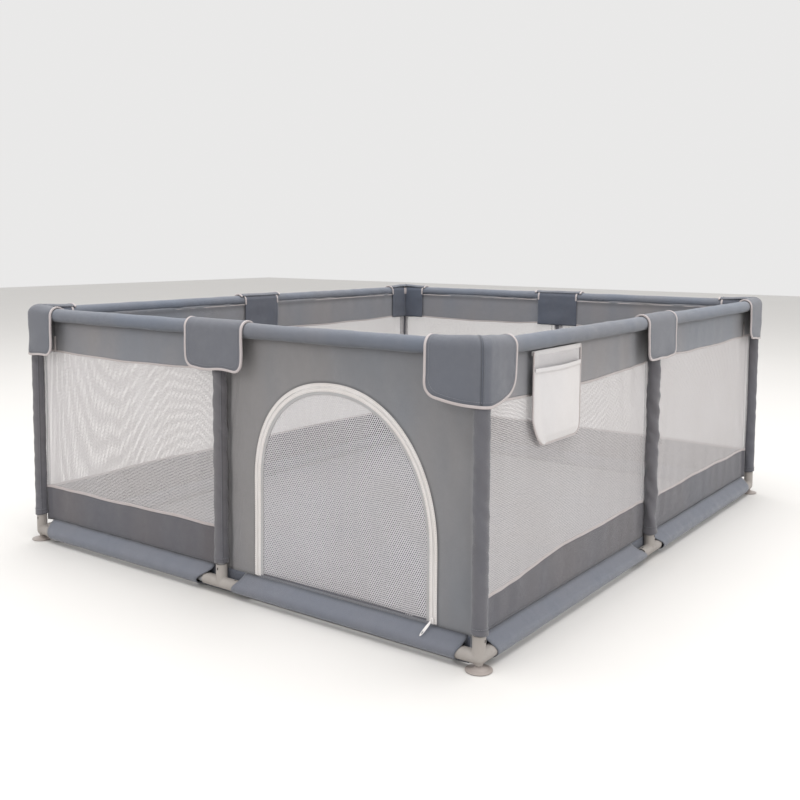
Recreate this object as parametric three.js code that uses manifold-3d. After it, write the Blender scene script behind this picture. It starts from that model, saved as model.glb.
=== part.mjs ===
// Rectangular playpen: plug-together tube frame, four fabric walls, eight lift-up joint covers,
// a zipped crawl-through door, a hanging storage pocket and a floor mat.
// Units are millimetres, +Z is up, the origin is on the floor at the middle of the pen.
// The front wall, with the door, faces -Y, and the long sides run along Y.

import * as THREE from 'three';
import { mergeVertices } from 'three/addons/utils/BufferGeometryUtils.js';
import Module from 'manifold-3d';

const wasm = await Module();
wasm.setup();

// ---------------------------------------------------------------- driving dimensions

const WIDTH = 1500;              // outside of the covers, along X
const LENGTH = 1800;             // outside of the covers, along Y
const COVER_REACH = 25;          // cover's outer face, out from the post axis
const LOW_Z = 26;                // axis of the bottom rails
const TOP_Z = 640;               // axis of the top rails
const ROUND = 12;                // facets on a tube or socket
const GAP = 0.7;                 // air left between neighbours that touch

const TUBE = { outer: 11, inner: 10.2 };
const SOCKET = { outer: 14, bore: 11.6, start: 15, cornerArm: 67, teeArm: 57, stem: 47, root: 1 };
const SNAP_HOLE = { radius: 2.2, fromEnd: 11 };
const CUP_SEAT = { radius: 8, low: 9, hole: 3.9, depth: 12 };
const CUP = { radius: 28, flat: 3, rim: 1.6, neck: 7.5, top: 8.4, stud: 3.5, studTop: 19.5, hollow: 4 };

const PANEL = { inner: 16.5, thick: 2, tab: 4, low: 12, top: TOP_Z, coverTop: 653.5 };
const RAIL_SLEEVE = { outer: 20, bore: 12, cornerStart: 80, teeStart: 72 };
const POST_SLEEVE = { outer: 19, bore: 12, low: 76, high: 590 };
const HEM_SLEEVE = { outer: 16.5, thick: 2, seamZ: 58, cornerStart: 68, teeStart: 58 };

const COVER = { inner: 20.6, outer: COVER_REACH, sweep: 135, corner: 112, mid: 93, rounding: 24 };
const COVER_LOW = { corner: 530, mid: 545 };

// The doorway leans a little: its top is left of its middle, and its right leg bends in lower down.
const DOOR = { crown: 335, left: 227.5, right: 270, leftRise: 290, rightRise: 220, low: 61, top: 527.5 };
const FLAP_GAP = 0.6;            // between the flap and the doorway's edge
const SLIDER = { width: 9, height: 13, back: 13.2, front: 8.5, low: 62.5 };
const PULL = { width: 6, length: 36, thick: 1.6, y: 8.9, z: 65, lean: 42, tilt: 25 };
const POCKET = { from: -670, to: -440, low: 402, hem: 565, high: 617, back: 6, front: 8, skin: 2, cut: 35 };
const MAT = { inset: 18, thick: 6, corner: 25 };

const HALF_X = WIDTH / 2 - COVER_REACH;
const HALF_Y = LENGTH / 2 - COVER_REACH;

// ---------------------------------------------------------------- solids

/** A watertight solid from any closed geometry. */
function solid(geometry) {
  const bare = geometry.clone();
  bare.deleteAttribute('normal');
  bare.deleteAttribute('uv');
  const merged = mergeVertices(bare, 1e-4);
  return new wasm.Manifold(new wasm.Mesh({
    numProp: 3,
    vertProperties: new Float32Array(merged.attributes.position.array),
    triVerts: new Uint32Array(merged.index.array),
  }));
}

/** The geometry of a solid. */
function geometryOf(body) {
  const mesh = body.getMesh();
  const geometry = new THREE.BufferGeometry();
  geometry.setAttribute('position', new THREE.BufferAttribute(mesh.vertProperties, 3));
  geometry.setIndex(new THREE.BufferAttribute(mesh.triVerts, 1));
  geometry.computeVertexNormals();
  return geometry;
}

const joined = (pieces) => pieces.reduce((sum, piece) => sum.add(piece));

/** A shape drawn in the XY plane, extruded along +Z. */
function prism(shape, depth, curveSegments = ROUND) {
  return new THREE.ExtrudeGeometry(shape, { depth, bevelEnabled: false, curveSegments });
}

function circle(radius) {
  const shape = new THREE.Shape();
  shape.absarc(0, 0, radius, 0, 2 * Math.PI, false);
  return shape;
}

/** A round bar along +Z, starting at z = 0. */
const bar = (radius, length) => prism(circle(radius), length, ROUND / 2);

/** A round pipe along +Z, starting at z = 0. */
function pipe(outer, bore, length) {
  const shape = circle(outer);
  shape.holes.push(circle(bore));
  return prism(shape, length, ROUND / 2);
}

/** Turns a geometry built along +Z so that it points along +X, +Y, -X, -Y or -Z. */
function aimed(geometry, direction) {
  const turn = new THREE.Quaternion().setFromUnitVectors(new THREE.Vector3(0, 0, 1), direction);
  return geometry.applyQuaternion(turn);
}

/** A side-view outline (x, z) given a thickness along +Y, from y to y + depth. */
function slab(shape, y, depth, curveSegments) {
  return prism(shape, depth, curveSegments).rotateX(Math.PI / 2).translate(0, y + depth, 0);
}

/** A cross-section (y, z) carried along +X from x0 to x1. */
function run(shape, x0, x1, curveSegments) {
  return prism(shape, x1 - x0, curveSegments)
    .applyMatrix4(new THREE.Matrix4().set(0, 0, 1, x0, 1, 0, 0, 0, 0, 1, 0, 0, 0, 0, 0, 1));
}

function polygon(points) {
  return new THREE.Shape(points.map(([x, y]) => new THREE.Vector2(x, y)));
}

const rectangle = (x0, y0, x1, y1) => polygon([[x0, y0], [x1, y0], [x1, y1], [x0, y1]]);

// ---------------------------------------------------------------- places round the pen

// Each side is drawn as the front one is: x runs to the right as seen from outside, and -y is outward.
const SIDES = [
  { name: 'front', half: HALF_X, distance: HALF_Y, turn: 0 },
  { name: 'right', half: HALF_Y, distance: HALF_X, turn: Math.PI / 2 },
  { name: 'back', half: HALF_X, distance: HALF_Y, turn: Math.PI },
  { name: 'left', half: HALF_Y, distance: HALF_X, turn: -Math.PI / 2 },
];

// Corner i closes the left end of side i and the right end of the side before it.
const CORNERS = [
  { name: 'front_left', x: -HALF_X, y: -HALF_Y, turn: 0 },
  { name: 'front_right', x: HALF_X, y: -HALF_Y, turn: Math.PI / 2 },
  { name: 'back_right', x: HALF_X, y: HALF_Y, turn: Math.PI },
  { name: 'back_left', x: -HALF_X, y: HALF_Y, turn: -Math.PI / 2 },
];

const colours = {
  fabric: [0x6c7079, 0.9, 0],
  mesh: [0xb4b3b6, 0.95, 0],
  mat: [0xb9bbbd, 0.95, 0],
  steel: [0x9a9c9e, 0.4, 0.8],
  plastic: [0x9a938b, 0.55, 0],
  rubber: [0x9c8f88, 0.5, 0],
  zip: [0xe4e2df, 0.5, 0],
};

const pen = new THREE.Group();

function addPiece(group, name, geometry, finish) {
  const [color, roughness, metalness] = colours[finish];
  const mesh = new THREE.Mesh(geometry, new THREE.MeshStandardMaterial({ color, roughness, metalness }));
  mesh.name = name;
  group.add(mesh);
  return mesh;
}

function groupAt(x, y, turn) {
  const group = new THREE.Group();
  group.position.set(x, y, 0);
  group.rotation.z = turn;
  pen.add(group);
  return group;
}

// ---------------------------------------------------------------- frame

const X = new THREE.Vector3(1, 0, 0);
const Y = new THREE.Vector3(0, 1, 0);
const Z = new THREE.Vector3(0, 0, 1);
const minus = (vector) => vector.clone().negate();

/**
 * A moulded connector with its hub at the origin: one blind socket for each arm, a small snap hole
 * near each end, and, where a cup plugs in, a seat with a hole on the underside.
 */
function connector(arms, hasCup) {
  const walls = arms.map(({ along, reach }) => {
    const arm = bar(SOCKET.outer, reach + SOCKET.root).translate(0, 0, -SOCKET.root);
    return solid(aimed(arm, along));
  });
  const bores = arms.map(({ along, reach }) => {
    const bore = bar(SOCKET.bore, reach - SOCKET.start + 1).translate(0, 0, SOCKET.start);
    return solid(aimed(bore, along));
  });
  const holes = arms.map(({ along, reach, holeToward }) => {
    const hole = aimed(prism(circle(SNAP_HOLE.radius), SOCKET.outer + 2, 3), holeToward);
    return solid(hole.translate(...along.clone().multiplyScalar(reach - SNAP_HOLE.fromEnd)));
  });
  let body = joined(walls);
  const isCorner = arms[0].along.dot(arms[1].along) === 0;
  if (isCorner) {
    body = body.add(solid(new THREE.SphereGeometry(SOCKET.outer, ROUND, ROUND / 2).rotateX(Math.PI / 2)));
  }
  if (hasCup) {
    body = body.add(solid(bar(CUP_SEAT.radius, LOW_Z - CUP_SEAT.low).rotateX(Math.PI)));
    const hole = bar(CUP_SEAT.hole, CUP_SEAT.depth + 1).translate(0, 0, CUP_SEAT.low - LOW_Z - 1);
    holes.push(solid(hole));
  }
  return geometryOf(body.subtract(joined([...bores, ...holes])));
}

function cornerConnector(stem, hasCup) {
  return connector([
    { along: X, reach: SOCKET.cornerArm, holeToward: stem },
    { along: Y, reach: SOCKET.cornerArm, holeToward: stem },
    { along: stem, reach: SOCKET.stem, holeToward: minus(Y) },
  ], hasCup);
}

function teeConnector(stem) {
  return connector([
    { along: X, reach: SOCKET.teeArm, holeToward: stem },
    { along: minus(X), reach: SOCKET.teeArm, holeToward: stem },
    { along: stem, reach: SOCKET.stem, holeToward: minus(Y) },
  ], false);
}

/** A soft cup with a stud on top and a shallow hollow underneath, standing on z = 0. */
function suctionCup() {
  const profile = [
    [0, CUP.hollow], [CUP.neck, CUP.hollow], [CUP.radius - CUP.flat, 0], [CUP.radius, 0],
    [CUP.radius, CUP.rim], [CUP.radius * 0.55, CUP.top * 0.7], [CUP.neck, CUP.top],
    [CUP.stud, CUP.top], [CUP.stud, CUP.studTop], [0, CUP.studTop],
  ].map(([r, z]) => new THREE.Vector2(r, z));
  return new THREE.LatheGeometry(profile, ROUND).rotateX(Math.PI / 2);
}

const tube = (length) => pipe(TUBE.outer, TUBE.inner, length);

function addFrame() {
  const tubeStart = SOCKET.start + GAP;
  const post = () => tube(TOP_Z - LOW_Z - 2 * tubeStart).translate(0, 0, LOW_Z + tubeStart);

  for (const corner of CORNERS) {
    const group = groupAt(corner.x, corner.y, corner.turn);
    addPiece(group, `post_${corner.name}`, post(), 'steel');
    addPiece(group, `bottom_corner_connector_${corner.name}`, cornerConnector(Z, true), 'plastic')
      .position.z = LOW_Z;
    addPiece(group, `top_corner_connector_${corner.name}`, cornerConnector(minus(Z), false), 'plastic')
      .position.z = TOP_Z;
    addPiece(group, `suction_cup_${corner.name}`, suctionCup(), 'rubber');
  }

  for (const side of SIDES) {
    const group = sideGroup(side);
    addPiece(group, `post_${side.name}`, post(), 'steel');
    addPiece(group, `bottom_tee_connector_${side.name}`, teeConnector(Z), 'plastic').position.z = LOW_Z;
    addPiece(group, `top_tee_connector_${side.name}`, teeConnector(minus(Z)), 'plastic').position.z = TOP_Z;
    for (const [level, z] of [['bottom', LOW_Z], ['top', TOP_Z]]) {
      for (const [end, start] of [['left', tubeStart - side.half], ['right', tubeStart]]) {
        const rail = aimed(tube(side.half - 2 * tubeStart), X).translate(start, 0, z);
        addPiece(group, `${level}_rail_${side.name}_${end}`, rail, 'steel');
      }
    }
  }
}

/** A group in which a side is drawn as the front one is, with the post axes on y = 0. */
function sideGroup(side) {
  const outward = new THREE.Vector2(0, -side.distance).rotateAround(new THREE.Vector2(), side.turn);
  return groupAt(outward.x, outward.y, side.turn);
}

// ---------------------------------------------------------------- fabric walls

/**
 * The drop-shaped section of the bottom hem: a circle round the rail, with straight sides up to the
 * seam on the wall's inner face. Scaling the radius moves every side in by the same amount.
 */
function hemSection(radius) {
  const seam = new THREE.Vector2(HEM_SLEEVE.outer, HEM_SLEEVE.seamZ - LOW_Z);
  const apexDistance = seam.length() * radius / HEM_SLEEVE.outer;
  const lean = seam.angle();
  const shape = new THREE.Shape();
  shape.absarc(0, LOW_Z, radius, 2 * lean, 2 * Math.PI, false);
  shape.lineTo(apexDistance * Math.cos(lean), LOW_Z + apexDistance * Math.sin(lean));
  shape.closePath();
  return shape;
}

/** The outline of the doorway, shrunk by the clearance given: two upright legs and two quarter ellipses. */
function doorOutline(clearance) {
  const left = DOOR.left - clearance;
  const right = DOOR.right - clearance;
  const top = DOOR.top - clearance;
  const shape = new THREE.Shape();
  shape.moveTo(DOOR.crown - left, DOOR.low + clearance);
  shape.lineTo(DOOR.crown + right, DOOR.low + clearance);
  shape.lineTo(DOOR.crown + right, DOOR.rightRise);
  shape.absellipse(DOOR.crown, DOOR.rightRise, right, top - DOOR.rightRise, 0, Math.PI / 2, false, 0);
  shape.absellipse(DOOR.crown, DOOR.leftRise, left, top - DOOR.leftRise, Math.PI / 2, Math.PI, false, 0);
  shape.closePath();
  return shape;
}

/** The upright cloth panel: it rises a little behind each joint cover. */
function panelOutline(half, ownsCorners) {
  const end = half - (ownsCorners ? SOCKET.outer + GAP : PANEL.inner + GAP);
  const tab = ownsCorners ? half - PANEL.tab : end;
  const cornerCover = half - COVER.corner;
  const right = [
    [end, PANEL.low], [end, POST_SLEEVE.low], [tab, POST_SLEEVE.low], [tab, POST_SLEEVE.high],
    [end, POST_SLEEVE.high], [end, PANEL.coverTop], [cornerCover, PANEL.coverTop],
    [cornerCover, PANEL.top], [COVER.mid, PANEL.top], [COVER.mid, PANEL.coverTop],
  ];
  const left = right.map(([x, z]) => [-x, z]).reverse();
  const outline = [...right, ...left];
  const repeats = ([x, z], i) => i > 0 && x === outline[i - 1][0] && z === outline[i - 1][1];
  return polygon(outline.filter((point, i) => !repeats(point, i)));
}

function wall({ half }, ownsCorners, hasDoorway) {
  const pieces = [slab(panelOutline(half, ownsCorners), PANEL.inner - PANEL.thick, PANEL.thick)];
  const railSection = () => pipe(RAIL_SLEEVE.outer, RAIL_SLEEVE.bore,
    half - RAIL_SLEEVE.cornerStart - RAIL_SLEEVE.teeStart);
  const hem = hemSection(HEM_SLEEVE.outer);
  hem.holes.push(hemSection(HEM_SLEEVE.outer - HEM_SLEEVE.thick));
  for (const start of [RAIL_SLEEVE.cornerStart - half, RAIL_SLEEVE.teeStart]) {
    pieces.push(aimed(railSection(), X).translate(start, 0, TOP_Z));
  }
  for (const [from, to] of [
    [HEM_SLEEVE.cornerStart - half, -HEM_SLEEVE.teeStart],
    [HEM_SLEEVE.teeStart, half - HEM_SLEEVE.cornerStart],
  ]) {
    pieces.push(run(hem, from, to, ROUND / 3));
  }
  for (const x of ownsCorners ? [-half, 0, half] : [0]) {
    pieces.push(pipe(POST_SLEEVE.outer, POST_SLEEVE.bore, POST_SLEEVE.high - POST_SLEEVE.low)
      .translate(x, 0, POST_SLEEVE.low));
  }
  const cloth = joined(pieces.map(solid));
  if (!hasDoorway) return geometryOf(cloth);
  const doorway = slab(doorOutline(0), PANEL.inner - 2 * PANEL.thick, 3 * PANEL.thick, ROUND);
  return geometryOf(cloth.subtract(solid(doorway)));
}

function addWalls() {
  for (const side of SIDES) {
    const facesFrontOrBack = side.half === HALF_X;
    addPiece(sideGroup(side), `wall_${side.name}`,
      wall(side, facesFrontOrBack, side.name === 'front'), 'fabric');
  }
  const x = HALF_X - MAT.inset;
  const y = HALF_Y - MAT.inset;
  const mat = polygon([
    [x - MAT.corner, -y], [x, MAT.corner - y], [x, y - MAT.corner], [x - MAT.corner, y],
    [MAT.corner - x, y], [-x, y - MAT.corner], [-x, MAT.corner - y], [MAT.corner - x, -y],
  ]);
  addPiece(pen, 'floor_mat', prism(mat, MAT.thick), 'mat');
}

// ---------------------------------------------------------------- joint covers

/** The hooked section (y, z) of a cover: over the rail from the inside, then straight down outside. */
function coverSection(low) {
  const rest = Math.PI - COVER.sweep * Math.PI / 180;
  const shape = new THREE.Shape();
  shape.absarc(0, TOP_Z, COVER.outer, rest, Math.PI, false);
  shape.lineTo(-COVER.outer, low);
  shape.lineTo(-COVER.inner, low);
  shape.absarc(0, TOP_Z, COVER.inner, Math.PI, rest, true);
  shape.closePath();
  return shape;
}

/** Front view of a cover from x0 to x1, with its lower corners rounded at the ends named. */
function coverFace(x0, x1, low, roundLeft, roundRight) {
  const r = COVER.rounding;
  const top = TOP_Z + 2 * COVER.outer;
  const shape = new THREE.Shape();
  shape.moveTo(x1, top);
  shape.lineTo(x0, top);
  if (roundLeft) shape.absarc(x0 + r, low + r, r, Math.PI, 1.5 * Math.PI, false);
  else shape.lineTo(x0, low);
  if (roundRight) shape.absarc(x1 - r, low + r, r, 1.5 * Math.PI, 2 * Math.PI, false);
  else shape.lineTo(x1, low);
  shape.closePath();
  return solid(slab(shape, -3 * COVER.outer, 6 * COVER.outer, 4));
}

function midCover() {
  const wrap = solid(run(coverSection(COVER_LOW.mid), -COVER.mid, COVER.mid, ROUND / 3));
  return geometryOf(wrap.intersect(coverFace(-COVER.mid, COVER.mid, COVER_LOW.mid, true, true)));
}

/** Two hooked wings, along +X and +Y from the corner, mitred where they meet. */
function cornerCover() {
  const overlap = 0.1;
  const far = 2 * COVER.corner;
  const along = solid(run(coverSection(COVER_LOW.corner), -far, COVER.corner, ROUND / 3))
    .intersect(coverFace(-far, COVER.corner, COVER_LOW.corner, false, true));
  const keepRight = polygon([[-far - overlap, -far], [far, -far], [far, far - overlap]]);
  const wing = along.intersect(solid(prism(keepRight, 2 * TOP_Z)));
  const swap = [0, 1, 0, 0, 1, 0, 0, 0, 0, 0, 1, 0, 0, 0, 0, 1];
  return geometryOf(wing.add(wing.transform(swap)));
}

function addCovers() {
  for (const side of SIDES) addPiece(sideGroup(side), `cover_${side.name}`, midCover(), 'fabric');
  for (const corner of CORNERS) {
    addPiece(groupAt(corner.x, corner.y, corner.turn), `cover_${corner.name}`, cornerCover(), 'fabric');
  }
}

// ---------------------------------------------------------------- door, zip and pocket

function zipSlider() {
  const x = DOOR.crown + DOOR.right;
  const { width, height, back, front, low } = SLIDER;
  const body = slab(rectangle(x - width / 2, low, x + width / 2, low + height), front, back - front);
  const tab = slab(rectangle(-PULL.width / 2, -PULL.length, PULL.width / 2, 3), -PULL.thick / 2, PULL.thick)
    .rotateY(PULL.tilt * Math.PI / 180)
    .rotateX(-PULL.lean * Math.PI / 180)
    .translate(x, PULL.y, PULL.z);
  return geometryOf(solid(body).add(solid(tab)));
}

/** A flat pouch hanging from its top edge: a tall back, a lower front and an open mouth between. */
function storagePocket() {
  const { from, to, low, hem, high, back, front, skin, cut } = POCKET;
  const outline = (inset, top) => polygon([
    [from + cut, low + inset], [to - cut / 2, low + inset], [to - inset, low + cut],
    [to - inset, top], [from + inset, top], [from + inset, low + 2 * cut],
  ]);
  const pouch = solid(slab(outline(0, hem), -front, front + back));
  const backing = solid(slab(outline(0, high), back - skin, skin));
  const hollow = solid(slab(outline(skin, hem + cut), skin - front, front + back - 2 * skin));
  return geometryOf(pouch.subtract(hollow).add(backing));
}

function addDoorAndPocket() {
  const [front, right] = SIDES;
  const flap = slab(doorOutline(FLAP_GAP), PANEL.inner - PANEL.thick, PANEL.thick, ROUND);
  const frontGroup = sideGroup(front);
  addPiece(frontGroup, 'door_flap', flap, 'mesh');
  addPiece(frontGroup, 'zip_slider', zipSlider(), 'zip');
  addPiece(sideGroup(right), 'storage_pocket', storagePocket(), 'mesh');
}

addFrame();
addWalls();
addCovers();
addDoorAndPocket();

export default pen;
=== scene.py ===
"""The visible model of a rectangular fabric playpen, built round its fixed frame.

Cloth, netting, bindings, zip, padding and mouldings are surfaces worked out with numpy. Each group of
pieces has an operator, and the sizes and colours that a user would change are scene properties.
Lengths are in metres. A side of the pen is described by u, along it to the right as seen from
outside, w, outward from the post axes, and z, up.
"""

import math

import bmesh
import bpy
import numpy as np
from bpy.props import FloatProperty, FloatVectorProperty, PointerProperty
from mathutils import Matrix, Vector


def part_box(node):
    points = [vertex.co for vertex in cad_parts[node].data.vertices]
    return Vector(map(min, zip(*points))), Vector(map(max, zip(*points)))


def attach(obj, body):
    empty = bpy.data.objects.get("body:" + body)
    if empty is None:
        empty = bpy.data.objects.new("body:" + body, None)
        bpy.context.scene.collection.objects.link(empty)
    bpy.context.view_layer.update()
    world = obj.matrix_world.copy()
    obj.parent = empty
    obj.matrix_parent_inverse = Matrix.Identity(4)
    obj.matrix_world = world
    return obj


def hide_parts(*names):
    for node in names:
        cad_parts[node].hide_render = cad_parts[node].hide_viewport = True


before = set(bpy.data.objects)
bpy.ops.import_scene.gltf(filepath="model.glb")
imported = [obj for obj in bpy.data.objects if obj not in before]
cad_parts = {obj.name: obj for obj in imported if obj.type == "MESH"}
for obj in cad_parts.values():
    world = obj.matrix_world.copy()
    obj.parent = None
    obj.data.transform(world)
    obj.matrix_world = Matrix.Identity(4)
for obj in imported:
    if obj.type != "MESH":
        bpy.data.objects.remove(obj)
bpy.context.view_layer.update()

bl_info = {
    "name": "Fabric Playpen",
    "version": (1, 0, 0),
    "blender": (4, 5, 0),
    "location": "View3D > Sidebar > Playpen",
    "description": "Builds the cloth, netting, zip and fittings of a rectangular playpen",
    "category": "Add Mesh",
}


# ---------------------------------------------------------------- places taken from the frame


def box(node):
    """Lowest and highest corner of a CAD node, as arrays."""
    low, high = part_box(node)
    return np.array(low), np.array(high)


def middle(node):
    """Centre of a CAD node's box."""
    low, high = box(node)
    return (low + high) / 2


def spread(node):
    """Size of a CAD node's box."""
    low, high = box(node)
    return high - low


HALF_X = middle("post_right")[0]
HALF_Y = middle("post_back")[1]
LOW_Z = middle("bottom_rail_front_left")[2]
TOP_Z = middle("top_rail_front_left")[2]
TUBE_R = spread("post_right")[0] / 2

SOCKET_R = spread("bottom_tee_connector_front")[1] / 2
STEM_TOP = box("bottom_tee_connector_front")[1][2]
TEE_REACH = box("bottom_tee_connector_front")[1][0]
CORNER_REACH = HALF_X - box("bottom_corner_connector_front_right")[0][0]
STEM_REACH = STEM_TOP - LOW_Z

COVER_HALF = box("cover_front")[1][0]
COVER_ARM = HALF_X - box("cover_front_right")[0][0]
COVER_LOW_MID = box("cover_front")[0][2]
COVER_LOW_CORNER = box("cover_front_right")[0][2]

DOOR_LOW, DOOR_HIGH = box("door_flap")
DOOR_WIDE, _, DOOR_TALL = spread("door_flap")
DOOR_GAP = 0.0006
DOOR_U = DOOR_LOW[0] + 0.457 * DOOR_WIDE
DOOR_TOP = DOOR_HIGH[2] + DOOR_GAP
# the doorway on each side of its crown: sign, half width, height where the leg ends, squareness
ARCHES = (
    (-1, DOOR_U - DOOR_LOW[0] + DOOR_GAP, DOOR_LOW[2] + 0.475 * DOOR_TALL, 2.25),
    (1, DOOR_HIGH[0] + DOOR_GAP - DOOR_U, DOOR_LOW[2] + 0.320 * DOOR_TALL, 2.1),
)
WALL_W = -(middle("door_flap")[1] + HALF_Y)

# outward direction, half the length between corner posts, distance of the post axes from the middle
SIDES = {
    "front": (np.array([0.0, -1.0]), HALF_X, HALF_Y),
    "right": (np.array([1.0, 0.0]), HALF_Y, HALF_X),
    "back": (np.array([0.0, 1.0]), HALF_X, HALF_Y),
    "left": (np.array([-1.0, 0.0]), HALF_Y, HALF_X),
}
# corner name: the side whose left end it closes
CORNERS = {"front_left": "front", "front_right": "right", "back_right": "back", "back_left": "left"}
ENDS = ("left", "right")
SEAM_Z = DOOR_LOW[2] - 0.003
WINDOW_LOW = 0.155
WINDOW_HIGH = 0.541


def on_side(side, u, w, z):
    """Points in the row frame from u, w and z on a side: middle + along·u + outward·(distance + w)."""
    outward, _, distance = SIDES[side]
    u, w, z = np.broadcast_arrays(*(np.asarray(a, float) for a in (u, w, z)))
    x = -outward[1] * u + outward[0] * (distance + w)
    y = outward[0] * u + outward[1] * (distance + w)
    return np.stack([x, y, z], -1)


def direction(side, u, w, z):
    """A direction given by its u, w and z parts on a side."""
    outward = SIDES[side][0]
    return np.array([-outward[1] * u + outward[0] * w, outward[0] * u + outward[1] * w, z])


def panel_span(side, end, corner_gap, middle_gap):
    """The u range of one panel, held back from the corner post's axis and the middle post's axis."""
    half = SIDES[side][1]
    low, high = middle_gap, half - corner_gap
    return (low, high) if end == "right" else (-high, -low)


# ---------------------------------------------------------------- numbers for shapes


def smooth_step(x, low, high):
    """0 below low, 1 above high, and a smooth cubic between."""
    t = np.clip((x - low) / (high - low), 0, 1)
    return t * t * (3 - 2 * t)


def bump(x, centre, width):
    """A bell curve of height 1."""
    return np.exp(-(((x - centre) / width) ** 2))


def round_bump(angle, at, width):
    """A bell curve of height 1 over an angle, taken the short way round."""
    return bump(np.angle(np.exp(1j * (angle - at))), 0, width)


def ripples(seed, u, v, lengths, angles=(0, math.pi), count=9):
    """Unevenness of cloth: a sum of plane waves of random length, direction and phase, about -1 to 1."""
    rng = np.random.default_rng(seed)
    waves = zip(rng.uniform(*lengths, count), rng.uniform(*angles, count), rng.uniform(0, 2 * math.pi, count))
    total = 0
    for length, angle, phase in waves:
        along = u * math.cos(angle) + v * math.sin(angle)
        total = total + np.sin(2 * math.pi * along / length + phase)
    return total / math.sqrt(count)


def round_ripples(seed, u, theta, lengths, orders, count=9):
    """The same on a tube: waves that close on themselves round it, because their order is whole."""
    rng = np.random.default_rng(seed)
    total = 0
    for length, order, phase in zip(
        rng.uniform(*lengths, count), rng.integers(*orders, count), rng.uniform(0, 2 * math.pi, count)
    ):
        total = total + np.sin(2 * math.pi * u / length + order * theta + phase)
    return total / math.sqrt(count)


def unit(vectors):
    """Vectors of length 1."""
    return vectors / np.maximum(np.linalg.norm(vectors, axis=-1, keepdims=True), 1e-12)


def resampled(path, count=None, pitch=None, closed=False):
    """The same polyline with its points spaced evenly, by number or by distance. Columns past the
    third, such as normals, are carried along."""
    if closed:
        path = np.concatenate([path, path[:1]])
    run = np.concatenate([[0], np.cumsum(np.linalg.norm(np.diff(path[:, :3], axis=0), axis=1))])
    if count is None:
        count = max(int(run[-1] / pitch) + 1, 2)
    at = np.linspace(0, run[-1], count + 1)[:-1] if closed else np.linspace(0, run[-1], count)
    return np.stack([np.interp(at, run, path[:, k]) for k in range(path.shape[1])], -1)


# ---------------------------------------------------------------- meshes


def lattice(rows, columns, wrap):
    """Four-sided faces of a grid of points, closed on itself in either direction, and the places of
    their corners in the grid of texture coordinates, which has one more row or column where it closes."""
    i, j = np.meshgrid(
        np.arange(rows - (not wrap[0])), np.arange(columns - (not wrap[1])), indexing="ij"
    )
    i, j = i.ravel(), j.ravel()
    corners = [(i, j), (i + 1, j), (i + 1, j + 1), (i, j + 1)]
    faces = np.stack([(a % rows) * columns + b % columns for a, b in corners], -1)
    wide = columns + wrap[1]
    return faces, np.stack([a * wide + b for a, b in corners], -1)


def metric_uv(points, wrap):
    """Texture coordinates in metres: the distance along each grid direction, averaged across the other."""
    if wrap[0]:
        points = np.concatenate([points, points[:1]], 0)
    if wrap[1]:
        points = np.concatenate([points, points[:, :1]], 1)
    down = np.linalg.norm(np.diff(points, axis=0), axis=-1).mean(1)
    across = np.linalg.norm(np.diff(points, axis=1), axis=-1).mean(0)
    u = np.concatenate([[0], np.cumsum(down)])
    v = np.concatenate([[0], np.cumsum(across)])
    return np.stack(np.meshgrid(u, v, indexing="ij"), -1)


def signed_volume(points, faces):
    """Six times the volume that the faces enclose, positive where they point outwards."""
    fan = [faces[:, [0, k, k + 1]] for k in range(1, faces.shape[1] - 1)]
    a, b, c = np.moveaxis(points[np.concatenate(fan)], 1, 0)
    return float(np.einsum("ij,ij->i", a, np.cross(b, c)).sum())


def mean_normal(points, faces):
    """Sum of the faces' normals, by area."""
    a, b, c = np.moveaxis(points[faces[:, :3]], 1, 0)
    return np.cross(b - a, c - a).sum(0)


def mesh_from(name, points, faces, uv=None, shade=None):
    """A smooth-shaded mesh from arrays of points and of equal-sided faces."""
    mesh = bpy.data.meshes.new(name)
    sides = faces.shape[1]
    mesh.vertices.add(len(points))
    mesh.vertices.foreach_set("co", np.ascontiguousarray(points, np.float32).ravel())
    mesh.loops.add(faces.size)
    mesh.loops.foreach_set("vertex_index", np.ascontiguousarray(faces, np.int32).ravel())
    mesh.polygons.add(len(faces))
    mesh.polygons.foreach_set("loop_start", np.arange(0, faces.size, sides, dtype=np.int32))
    if uv is not None:
        layer = mesh.uv_layers.new(name="UVMap")
        layer.data.foreach_set("uv", np.ascontiguousarray(uv, np.float32).ravel())
    if shade is not None:
        attribute = mesh.attributes.new("shade", "FLOAT", "POINT")
        attribute.data.foreach_set("value", np.ascontiguousarray(shade, np.float32).ravel())
    mesh.update(calc_edges=True)
    mesh.validate()
    mesh.shade_smooth()
    return mesh


def weld(mesh, distance=1e-6):
    """Merges points that lie on each other, which closes poles, and leaves faces pointing outwards."""
    work = bmesh.new()
    work.from_mesh(mesh)
    bmesh.ops.remove_doubles(work, verts=work.verts, dist=distance)
    work.to_mesh(mesh)
    work.free()


def surface(name, points, wrap=(False, False), facing=None, shade=None, poles=False, uv=None):
    """A mesh from a grid of points. A closed one is turned outwards by its volume, an open one
    towards the direction given. Its texture coordinates are distances over the cloth unless given."""
    rows, columns = points.shape[:2]
    faces, cells = lattice(rows, columns, wrap)
    flat = points.reshape(-1, 3)
    inward = signed_volume(flat, faces) < 0 if facing is None else mean_normal(flat, faces) @ facing < 0
    if inward:
        faces, cells = faces[:, ::-1], cells[:, ::-1]
    grid_uv = metric_uv(points, wrap) if uv is None else uv
    mesh = mesh_from(name, flat, faces, grid_uv.reshape(-1, 2)[cells.ravel()], shade)
    if poles:
        weld(mesh)
    return mesh


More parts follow.
